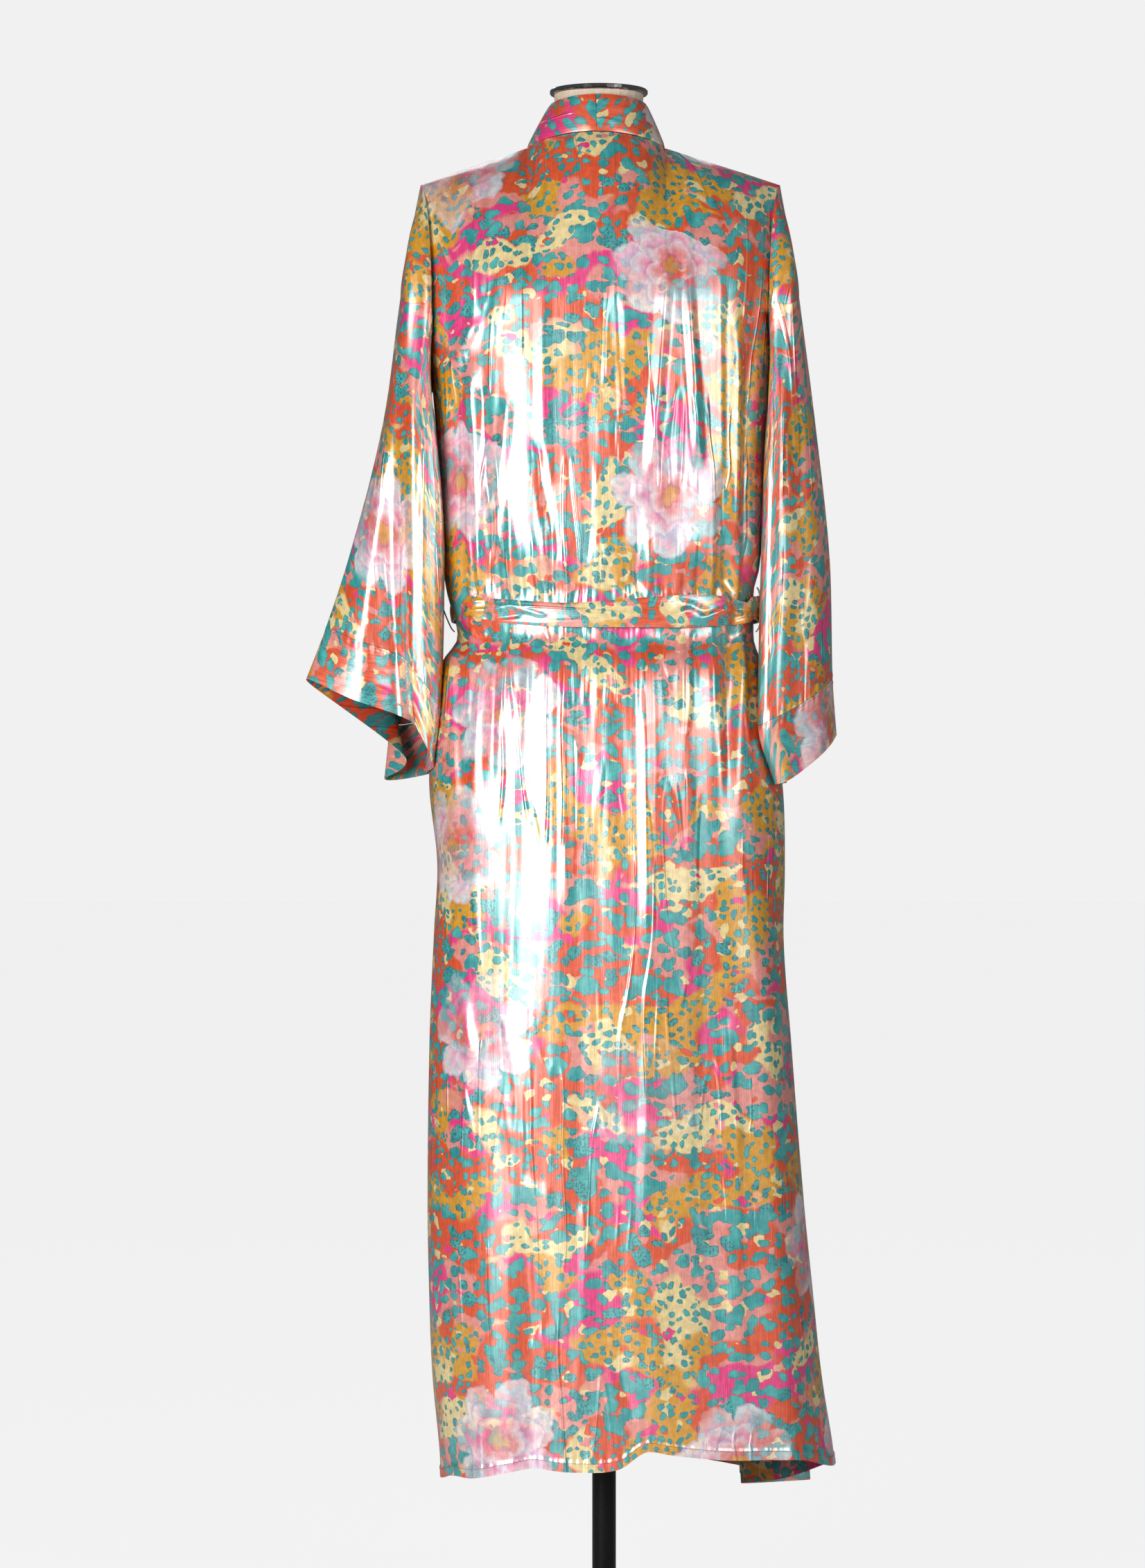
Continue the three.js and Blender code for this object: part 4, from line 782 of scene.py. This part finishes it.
def sleeve_points(side, steps, along):
    """Points of a sleeve at places among the stations, and along it from 0 over 1 at the cuff to 2 at the hem."""
    steps, along = np.broadcast_arrays(np.asarray(steps, float), np.asarray(along, float))
    table = SLEEVES[side]

    def station(number):
        found = np.empty(steps.shape + (3,))
        for row in range(STATIONS):
            here = number % STATIONS == row
            if not here.any():
                continue
            *places, top, seam, low = table[row]
            part = along[here]
            z = np.where(part < 1, mix(top, seam, part), mix(seam, low, part - 1))
            x_stops, y_stops = zip(*reversed(places))
            stops = {"z": (low, seam, ARM_ELBOW, ARM_UPPER, top), "x": x_stops, "y": y_stops}
            found[here] = stacked(curve_at(stops, "z", "x", z), curve_at(stops, "z", "y", z), z)
        return found

    k = np.floor(steps).astype(int)
    t = (steps - k)[..., None]
    a, b, c, d = station(k - 1), station(k), station(k + 1), station(k + 2)
    place = b + 0.5 * t * (c - a + t * (2 * a - 5 * b + 4 * c - d + t * (3 * (b - c) + d - a)))
    place[..., 0] *= SIGN[side]
    return clear_of_body(place)


def body_rows(step):
    """Heights of the body's rows up to the underarm: the hem's own share in each, and the rest."""
    height = UNDERARM - ROWS_FROM
    above = np.arange(ROWS_FROM, UNDERARM + 0.1, height / round(height / step))
    count = int(HEM_BLEND / step)
    lower = [(1.0, row) for row in HEM_ROWS]
    lower += [(1 - k / count, mix(HEM_ROWS[-1], 0.0, k / count)) for k in range(1, count)]
    shares = np.array([share for share, _ in lower] + [0.0] * len(above))
    rest = np.array([(1 - share) * ROWS_FROM + more for share, more in lower] + list(above))
    return shares, rest


# Steps in millimetres and cells across and around each piece
ROW_STEP = 8.0
COLUMN_SCALE = 2
CELLS = {"shoulder": 46, "neck": 40, "drop": 14, "front": 60, "collar": 26, "sleeve": 88, "arm": 46, "cuff": 11,
         "belt": 180}
CELLS = {part: count * COLUMN_SCALE for part, count in CELLS.items()}
ROW_SHARE, ROW_REST = body_rows(ROW_STEP)
ARMHOLE_ROWS, YOKE_ROWS = int(ARMHOLE_RUN / ROW_STEP), int(YOKE_RUN / ROW_STEP)
LAST_BODY_ROW = len(ROW_SHARE) - 1 + ARMHOLE_ROWS
PANEL_ROWS = LAST_BODY_ROW + YOKE_ROWS
SEAM_ANGLE = math.degrees(math.atan(SEAM / 2 / BODY["back"][0]))


def side_angle(z):
    """Angle from the middle at which the body's panels end: the side seam, and above it the groove."""
    return mix(90.0, GROOVE_ANGLE, ease((z - UNDERARM) / (YOKE_SIDE - UNDERARM)))


def column_heights(hem, yoke):
    """Heights of all body rows, rows by columns, for the hem and yoke heights of each column."""
    body = ROW_SHARE[:, None] * hem + ROW_REST[:, None]
    share = (np.arange(1, ARMHOLE_ROWS + 1) / ARMHOLE_ROWS)[:, None]
    return np.concatenate([body, mix(UNDERARM, yoke, share)])


def puckers(along, over, line, reach_mm, size):
    """Small uneven waves that a row of stitches pulls up, along the cloth at a height over its edge."""
    drift = PUCKER["drift"] * np.sin(along / PUCKER["drift_length"])
    wave = (np.sin(2 * np.pi * along / PUCKER["length"] + drift)
            + PUCKER["second"] * np.sin(2 * np.pi * along / PUCKER["second_length"]))
    return size * wave * np.exp(-((over - line) / reach_mm) ** 2)


def hem_relief(heights, hem, x):
    over = heights - hem
    band = HEM["step"] * ease((HEM["top"] - over) / HEM["slope"])
    return band + puckers(x, over, HEM["sewn"], HEM["reach"], HEM["pucker"])


def shoulder_line(side, face, share):
    """Seam of a shoulder from its tip to the neck, with the yoke's height and how round the cloth is below it."""
    sign = SIGN[side]
    x = sign * mix(SHOULDER[side]["tip"][0], NECK["x"] * sign + NECK["half_width"], share)
    yoke = mix(YOKE_SIDE, YOKE_CENTRE, ease(share))
    return stacked(x, face * SEAM / 2, shoulder_height(x)), yoke, mix(ROUND_SHOULDER, ROUND_NECK, share ** 3)


def dropped_shoulder(side, face):
    """Points of a dropped shoulder, yoke rows by columns from the groove beside the body to the outer edge."""
    count = CELLS["drop"]
    steps = np.linspace(DROP_STATION[face], 0.0, count)
    base = sleeve_points(side, steps if face > 0 else STATIONS - steps, np.zeros(count))
    base[:, 2] += SEAM
    base[-1, 1] = face * SEAM / 2
    (tip_x, tip_z), (end_x, end_z) = SHOULDER[side]["tip"], SHOULDER[side]["end"]
    share = np.arange(1, count + 1) / count
    top = stacked(SIGN[side] * mix(tip_x, end_x, share), face * SEAM / 2, mix(tip_z, end_z, share))
    rows = (np.arange(0, YOKE_ROWS + 1) / YOKE_ROWS)[:, None]
    return over_shoulder(base[None], top[None], ROUND_SHOULDER, np.broadcast_to(rows, (YOKE_ROWS + 1, count)))


def full_height(drop):
    """Points of a dropped shoulder with its lowest row repeated below it, as tall as a body panel's grid."""
    return np.concatenate([np.repeat(drop[:1], LAST_BODY_ROW, axis=0), drop])


def left_out(points, sides):
    """The cells under the dropped shoulders at these sides of a body panel's grid, where there is no cloth."""
    cells = np.zeros((PANEL_ROWS, points.shape[1] - 1), bool)
    for columns in sides:
        cells[:LAST_BODY_ROW, columns] = True
    return cells


def on_side(face):
    """Keeps the points of a panel on its side of the seams: 1 behind them and -1 before them."""
    def keep(points):
        points[..., 1] = face * np.maximum(face * points[..., 1], SEAM / 2)
        return points
    return keep


def panel(angles_at, tops, yoke, rounds, hem, place):
    """Body points of a panel, rows by columns from the hem up to the shoulder and neck, and the heights."""
    heights = column_heights(hem, yoke)
    low = place(angles_at(heights), heights)
    rows = (np.arange(1, YOKE_ROWS + 1) / YOKE_ROWS)[:, None]
    shares = np.broadcast_to(rows, (YOKE_ROWS, heights.shape[1]))
    return np.concatenate([low, over_shoulder(low[-1][None], tops[None], rounds, shares)]), heights


def build_back():
    count, neck_count, drop_count = CELLS["shoulder"], CELLS["neck"], CELLS["drop"]
    share = np.arange(count) / count
    neck_share = np.linspace(0, 1, neck_count + 1)
    left_top, shoulder_yoke, shoulder_round = shoulder_line("left", 1, share)
    right_top = shoulder_line("right", 1, share)[0][::-1]
    neck = neckline(mix(90.0, -90.0, neck_share))
    neck[:, 1] = np.maximum(neck[:, 1], SEAM / 2)
    tops = np.concatenate([left_top, neck, right_top])
    yoke = np.concatenate([shoulder_yoke, np.full(neck_count + 1, YOKE_CENTRE), shoulder_yoke[::-1]])
    rounds = np.concatenate([shoulder_round, np.full(neck_count + 1, ROUND_NECK), shoulder_round[::-1]])

    def angles(z):
        reach_side = side_angle(z) - SEAM_ANGLE
        left = mix(reach_side[:, :count], NECK_ANGLE["left"], share)
        right = mix(-reach_side[:, -count:], NECK_ANGLE["right"], share[::-1])
        middle = np.broadcast_to(mix(NECK_ANGLE["left"], NECK_ANGLE["right"], neck_share), (len(z), neck_count + 1))
        return np.concatenate([left, middle, right], axis=1)

    low = body_point(angles(np.full((1, len(tops)), LOWEST)), LOWEST, detail=False)[0]
    body, heights = panel(angles, tops, yoke, rounds, curve_at(BACK_HEM, "x", "z", low[:, 0]), body_point)
    left, right = dropped_shoulder("left", 1)[:, ::-1], dropped_shoulder("right", 1)
    points = np.concatenate([full_height(left), body, full_height(right)], axis=1)
    missing = left_out(points, (slice(drop_count), slice(-drop_count, None)))
    out = np.zeros(points.shape[:2])
    out[:LAST_BODY_ROW + 1, drop_count:-drop_count] = hem_relief(heights, heights[:1], body[:1, :, 0])
    neck_line = slice(drop_count + count, drop_count + count + neck_count + 1)
    out[-2:, neck_line] = np.array(NECK_SINK)[:, None]
    column = np.arange(neck_count + 1)
    tucks = np.sin(column * TUCKS["turn"] / COLUMN_SCALE + TUCKS["uneven"] * np.sin(column / TUCKS["length"]))
    out[-5:-1, neck_line] += np.array(TUCKS["rows"])[:, None] * tucks

    cut = {"node": "back", "flat": (0.56, 1.40), "area": 0.66, "held": "hung", "on": ["form_torso"]}
    sewn = [(STITCHED_ROW, np.arange(drop_count, points.shape[1] - drop_count))]
    for x in TACKS["x"]:
        column = int(np.argmin(np.abs(points[-1, :, 0] - x)))
        sewn.append((np.arange(PANEL_ROWS - TACKS["rows"], PANEL_ROWS), column))
    cloth("robe_back", points, cut, missing=missing, keep=on_side(1), out=out, sewn=sewn)


def front_edge(side, z, beyond=0.0):
    """Points of a front's edge at heights, or that much beyond it."""
    x = SIGN[side] * (curve_at(FRONT_EDGE, "z", side, z) - beyond)
    return body_point(front_angle(x, z), z, WRAP_LIFT if side == "left" else 0.0)


def front_panel(side, shares):
    """Points of a front at shares of its width, 0 at the side seam and 1 at the band."""
    sign = SIGN[side]
    tops, yoke, rounds = shoulder_line(side, -1, shares)

    def angles(z):
        first = 180 - sign * (side_angle(z) - SEAM_ANGLE)
        return mix(first, front_angle(sign * curve_at(FRONT_EDGE, "z", side, z), z), shares)

    def place(angle, z):
        lift = WRAP_LIFT * ease(shares * 2 - 0.2) if side == "left" else 0.0
        points = body_point(angle, z, lift)
        if side == "right":
            down = ease((FLAP_TOP - z) / (FLAP_TOP - FLAP_BOTTOM))
            weight = down * ease((FLAP_END + FLAP_FADE - shares) / FLAP_FADE)
            wide = curve_at(BODY, "z", "right", z) / BODY["right"][0]
            deep = curve_at(BODY, "z", "front", z) / BODY["front"][0]
            points[..., 0] = mix(points[..., 0], curve_at(FLAP, "share", "x", shares) * wide, weight)
            points[..., 1] = mix(points[..., 1], curve_at(FLAP, "share", "y", shares) * deep - SEAM / 2, weight)
        return points

    if side == "right":
        hem = curve_at(FLAP, "share", "hem", shares)
    else:
        low = body_point(angles(np.full((1, len(shares)), LOWEST)), LOWEST, detail=False)[0]
        hem = curve_at(FRONT_LEFT_HEM, "x", "z", low[:, 0])
    return panel(angles, tops, yoke, rounds, hem, place)


def build_front(side):
    drop_count = CELLS["drop"]
    body, heights = front_panel(side, np.linspace(0, 1, CELLS["front"] + 1))
    points = np.concatenate([full_height(dropped_shoulder(side, -1)[:, ::-1]), body], axis=1)
    out = np.zeros(points.shape[:2])
    out[:LAST_BODY_ROW + 1, drop_count:] = hem_relief(heights, heights[:1], body[:1, :, 0])
    cut = {"node": f"front_{side}", "flat": (0.42, 1.40), "area": 0.37, "held": "hung", "on": ["form_torso"]}
    shift = (0.0, 0.9, 0.13) if side == "left" else (0.0, -0.8, 0.31)
    cloth(f"robe_front_{side}", points, cut, side=-SIGN[side], missing=left_out(points, (slice(drop_count),)),
          keep=on_side(-1), turn=shift, out=out, sewn=[(STITCHED_ROW, np.arange(drop_count, points.shape[1]))])


def build_collar(side):
    sign, turn_count = SIGN[side], CELLS["collar"]
    across = np.linspace(0, 1, COLLAR["columns"])
    turns = sign * np.arange(turn_count) * 90 / turn_count
    seam, free = neckline(turns), collar_top(turns)
    edge, _ = front_panel(side, np.array([1.0]))
    edge = edge[::-1, 0]
    up = np.clip((PANEL_ROWS - np.arange(len(edge)) - LAST_BODY_ROW) / YOKE_ROWS, 0, 1)
    low = front_edge(side, np.array([YOKE_CENTRE]), BAND_WIDTH)
    high = collar_top(np.array([90.0 * sign]))
    free_edge = over_shoulder(low, high, ROUND_NECK, up)
    free_edge[:, 0] = mix(low[0, 0], high[0, 0], up ** COLLAR["lead_x"])
    free_edge[:, 2] = mix(low[0, 2], high[0, 2], up ** COLLAR["lead_z"])
    seam, free = np.concatenate([seam, edge]), np.concatenate([free, free_edge])
    start = seam + unit(free - seam) * SEAM
    points = mix(start[None], free[None], across[:, None, None])
    lower = turn_count + YOKE_ROWS
    for k, share in enumerate(across):
        points[k, lower:] = front_edge(side, seam[lower:, 2], mix(SEAM, BAND_WIDTH, share))
    points[:, 0, 0] = NECK["x"]
    rounding = COLLAR["swell"] * np.sin(np.pi * across) ** COLLAR["round"]
    out = np.repeat(rounding[:, None], points.shape[1], axis=1)

    def keep(p):
        kept = NECK["x"] + sign * np.maximum(sign * (p[..., 0] - NECK["x"]), SEAM / 2)
        p[..., 0] = np.where(p[..., 1] > 0, kept, p[..., 0])
        return p

    cut = {"node": f"collar_{side}", "flat": (0.05, 1.52), "held": "hung", "on": ["form_torso"]}
    cloth(f"neckband_{side}", points, cut, side=-sign, thick=COLLAR["thick"], keep=keep,
          turn=(90.0, 0.4 * sign, 0.77), out=out)


def build_sleeve(side):
    sign, around, rows, cuff_rows = SIGN[side], CELLS["sleeve"], CELLS["arm"], CELLS["cuff"]
    steps = STATIONS / 2 + np.linspace(0, STATIONS, around + 1)
    line = np.concatenate([np.arange(rows) / rows, 1 + np.arange(cuff_rows + 1) / cuff_rows])
    wave, pucker = SLEEVE_RIPPLE, CUFF_PUCKER
    for name, first in (("sleeve", True), ("cuff", False)):
        along = line.copy()
        if not first:
            along[rows] = 1 + CUFF_GAP
        points = sleeve_points(side, steps[None, :], along[:, None])
        points[:, -1] = points[:, 0]
        middle = wave["middle"] + wave["swing"] * np.sin(2 * np.pi * steps[None, :] / STATIONS)
        seam = along[:, None] + np.zeros(points.shape[:2])
        out = (ripple(middle, points[..., 2], wave["seed"] + sign, wave["size"]) * ease(seam * wave["armhole"])
               * ease(np.abs(1 - seam) * wave["seam"]))
        length = np.cumsum(np.linalg.norm(np.diff(points[rows], axis=0, prepend=points[rows, :1]), axis=-1))
        from_seam = (seam - 1) * np.where(seam > 1, pucker["below"], pucker["above"])
        out = out + (puckers(length[None, :], from_seam, 0.0, pucker["reach"], pucker["size"])
                     * ease(np.abs(from_seam) / pucker["flat"]))
        beside = np.zeros((rows + cuff_rows, around), bool)
        beside[(slice(rows, None) if first else slice(None, rows))] = True
        cut = {"node": f"{name}_{side}", "held": "hung", "on": [f"front_{side}"], "middle": SLEEVE_MIDDLE,
               "flat": (0.33, 0.44) if first else (0.36, 0.06)}
        if first:
            cut["area"] = 0.115
        turn = (0.0, 1.7 * sign, 0.4) if first else (90.0, 2.3 * sign, 0.9)
        cloth(f"{name}_cloth_{side}", points, cut, side=-sign, closed=True, beside=beside, turn=turn, out=out,
              thick=CLOTH if first else THICK["cuff"], sewn=() if first else [(rows + 1, np.arange(around + 1))])


def belt_height(angle):
    x, y = unit_section(angle)
    return mix(np.where(y > 0, BELT["back"], BELT["front"]), BELT["side"], x * x)


def belt_lift(angle):
    to_front = ease((np.abs((angle + 360) % 360 - 180) - BELT_SHAPE["knot_angle"]) / BELT_SHAPE["fade_angle"])
    return mix(WRAP_LIFT + BELT_SHAPE["over_wrap"], 0.0, to_front) + BELT["lift"] + BELT_THICK


def build_belt():
    angle = np.linspace(180, 540, CELLS["belt"] + 1)[None, :]
    share = np.linspace(0, 1, 15)[:, None]
    middle, tall = belt_height(angle), BELT["height"]
    points = body_point(angle, BELT["waist"], belt_lift(angle), detail=False) + np.zeros((len(share), 1, 1))
    x, behind = points[..., 0], ease(points[..., 1] / BELT_SHAPE["behind"])
    low = mix(middle - tall / 2, curve_at(BELT_EDGES, "x", "bottom", x), behind)
    high = mix(middle + tall / 2, curve_at(BELT_EDGES, "x", "top", x), behind)
    points[..., 2] = mix(low, high, share)
    points[:, -1] = points[:, 0]
    creases = crease_relief([(x0, s0 * tall, x1, s1 * tall, wide, high)
                             for x0, s0, x1, s1, wide, high in BELT_CREASES], x, share * tall)
    waves = BELT_WAVE["height"] * np.sin(BELT_WAVE["across"] * np.pi * share + angle / BELT_WAVE["degrees"])
    out = np.sin(np.pi * share).clip(0) ** 0.5 * (BELT_SHAPE["roll"] + waves + creases * behind)
    cut = {"node": "belt", "flat": (0.028, 0.92), "held": "stretched", "on": ["back"]}
    cloth("belt_cloth", points, cut, side=-1, thick=BELT_THICK, closed=True, turn=(90.0, 0.55, 1.9), out=out)


def build_tails():
    top = KNOT["z"] - KNOT["height"] / 2 - SEAM
    share = np.linspace(0, 1, 70)[:, None]
    across = np.linspace(-0.5, 0.5, 9)[None, :] * TAIL["width"]
    sway, long, wide = TAIL["wave"]
    for side, (x, end) in TAILS.items():
        z = mix(top, end, share ** 1.5) + 0 * across
        lift = mix(TAIL["knot_lift"], TAIL["lift"], ease((top - z) / TAIL["settle"]))
        points = body_point(front_angle(x + across, z), z, lift, detail=False)
        cut = {"node": f"belt_tail_{side}", "flat": (0.03, 0.5), "held": "hung", "on": ["belt_knot"]}
        out = sway * np.sin(z / long + across / wide) * np.sin(np.pi * share)
        cloth(f"belt_tail_cloth_{side}", points, cut, side=-1, thick=THICK["tail"], turn=(0.0, 0.3, 1.2), out=out)


def build_knot():
    """A flat wrapped knot: an upright loop of the belt over the crossing ends."""
    angle = np.array(180.0)
    front = body_point(angle, belt_height(angle), belt_lift(angle), detail=False)[1]
    middle = front - KNOT["depth"] / 2 - SEAM
    turn = np.radians(np.linspace(0, 360, 49)[None, :])
    level = np.linspace(-1, 1, 33)[:, None] * KNOT["ends"]
    swell = np.sqrt(1 - level ** 2) * (1 + KNOT["lumps"] * np.sin(3 * turn + 4 * level))
    points = stacked(KNOT["x"] + KNOT["width"] / 2 * swell * np.sin(turn) * KNOT["within"][0],
                     middle + KNOT["depth"] / 2 * swell * np.cos(turn) * KNOT["within"][1],
                     KNOT["z"] + KNOT["height"] / 2 * level)
    points[:, -1] = points[:, 0]
    cut = {"node": "belt_knot", "flat": (0.03, 0.14), "held": "folded", "on": ["belt"]}
    cloth("belt_knot_cloth", points, cut, side=-1, thick=THICK["knot"], closed=True, turn=(40.0, 0.1, 0.2))


def build_loops():
    """Narrow loops at the side seams that carry the belt."""
    share = np.linspace(0, 1, 15)[:, None]
    across = np.linspace(-0.5, 0.5, 3)[None, :] * math.degrees(LOOP["width"] / LOOP["waist"])
    for side in SIGN:
        angle = np.array(LOOP["angle"] if side == "left" else 360 - LOOP["angle"])
        z = belt_height(angle) + mix(LOOP["reach"], -LOOP["reach"], share) + 0 * across
        out = mix(LOOP["root"], belt_lift(angle) + LOOP["thick"] + LOOP["bow"], np.sin(np.pi * share).clip(0) ** 0.5)
        points = body_point(angle + across, z, out, detail=False)
        cut = {"node": f"belt_loop_{side}", "flat": (0.01, 0.055), "area": 0.0003, "held": "stretched",
               "on": [f"front_{side}"]}
        cloth(f"belt_loop_cloth_{side}", points, cut, thick=LOOP["thick"], turn=(0.0, 0.6, 0.3))


def dress_stand():
    """Finishes of the form, the cap, the pole and the base."""
    for node, finish in (("form_torso", "linen"), ("neck_cap", "chrome"), ("pole", "black_metal"),
                         ("base", "black_metal")):
        materials = bpy.data.objects[node].data.materials
        materials.clear()
        materials.append(MATERIALS[finish])


def camera():
    data = bpy.data.cameras.new("camera")
    data.sensor_width = CAMERA["sensor"]
    data.lens = CAMERA["sensor"] * CAMERA["distance"] / (CAMERA["tall_px"] * CAMERA["mm_per_px"])
    data.clip_end = 100.0
    thing = add_thing("camera", data)
    thing.location = (CAMERA["x"] * MM, CAMERA["distance"] * MM, CAMERA["z"] * MM)
    thing.rotation_euler = (math.radians(90), 0.0, math.radians(180))
    bpy.context.scene.camera = thing


# Softboxes: place, target, width and height in metres, and power in watts
LIGHTS = {
    "key_left": ((1.5, 2.6, 1.26), (0.0, 0.0, 1.2), (1.35, 1.0), 84.0),
    "fill_front": ((0.2, -2.4, 3.2), (0.0, 0.0, 0.8), (1.4, 1.4), 13.0),
    "fill_right": ((-1.9, 2.3, 1.6), (0.0, 0.0, 1.2), (1.2, 0.9), 25.0),
}
WORLD_LIGHT = 0.13
FLOOR = {"reach": 30.0, "pale": 1.08, "seen": 0.9}


def softbox(name, place, target, size, power):
    data = bpy.data.lights.new(name, "AREA")
    data.shape = "RECTANGLE"
    data.size, data.size_y = size
    data.energy = power
    thing = add_thing(name, data)
    thing.location = place
    way = np.array(target) - np.array(place)
    yaw, pitch = math.atan2(way[0], -way[1]), math.atan2(math.hypot(way[0], way[1]), -way[2])
    thing.rotation_euler = (pitch, 0.0, yaw + math.pi)


def studio():
    """A pale world that lights little, three softboxes, and a floor that looks as pale as the world."""
    world = bpy.data.worlds.new("studio")
    bpy.context.scene.world = world
    n = Nodes(world, "MixShader", "OutputWorld")
    light = n.add("Background", {"Color": (1.0, 1.0, 1.0, 1.0), "Strength": WORLD_LIGHT})
    shown = n.add("Background", {"Color": BACKDROP})
    direct = n.add("LightPath").outputs["Is Camera Ray"]
    n.put(n.shader, {0: direct, 1: light.outputs[0], 2: shown.outputs[0]})
    for name, light_setup in LIGHTS.items():
        softbox(name, *light_setup)

    n = Nodes(bpy.data.materials.new("floor"), "MixShader")
    matt = n.add("BsdfPrincipled", {"Base Color": FLOOR_GREY, "Roughness": 0.95})
    pale = n.add("Emission", {"Color": BACKDROP, "Strength": FLOOR["pale"]})
    direct = n.add("LightPath").outputs["Is Camera Ray"]
    n.put(n.shader, {0: n.times(direct, FLOOR["seen"]), 1: matt.outputs[0], 2: pale.outputs[0]})
    corners = ((-1, -1), (1, -1), (1, 1), (-1, 1))
    floor = add_mesh("floor", [(x * FLOOR["reach"], y * FLOOR["reach"], 0.0) for x, y in corners], [(0, 1, 2, 3)])
    floor.data.materials.append(n.owner)


camera()
studio()
dress_stand()
build_back()
for side in SIGN:
    build_front(side)
    build_collar(side)
    build_sleeve(side)
build_belt()
build_tails()
build_knot()
build_loops()
bpy.context.scene.view_settings.view_transform = "Standard"
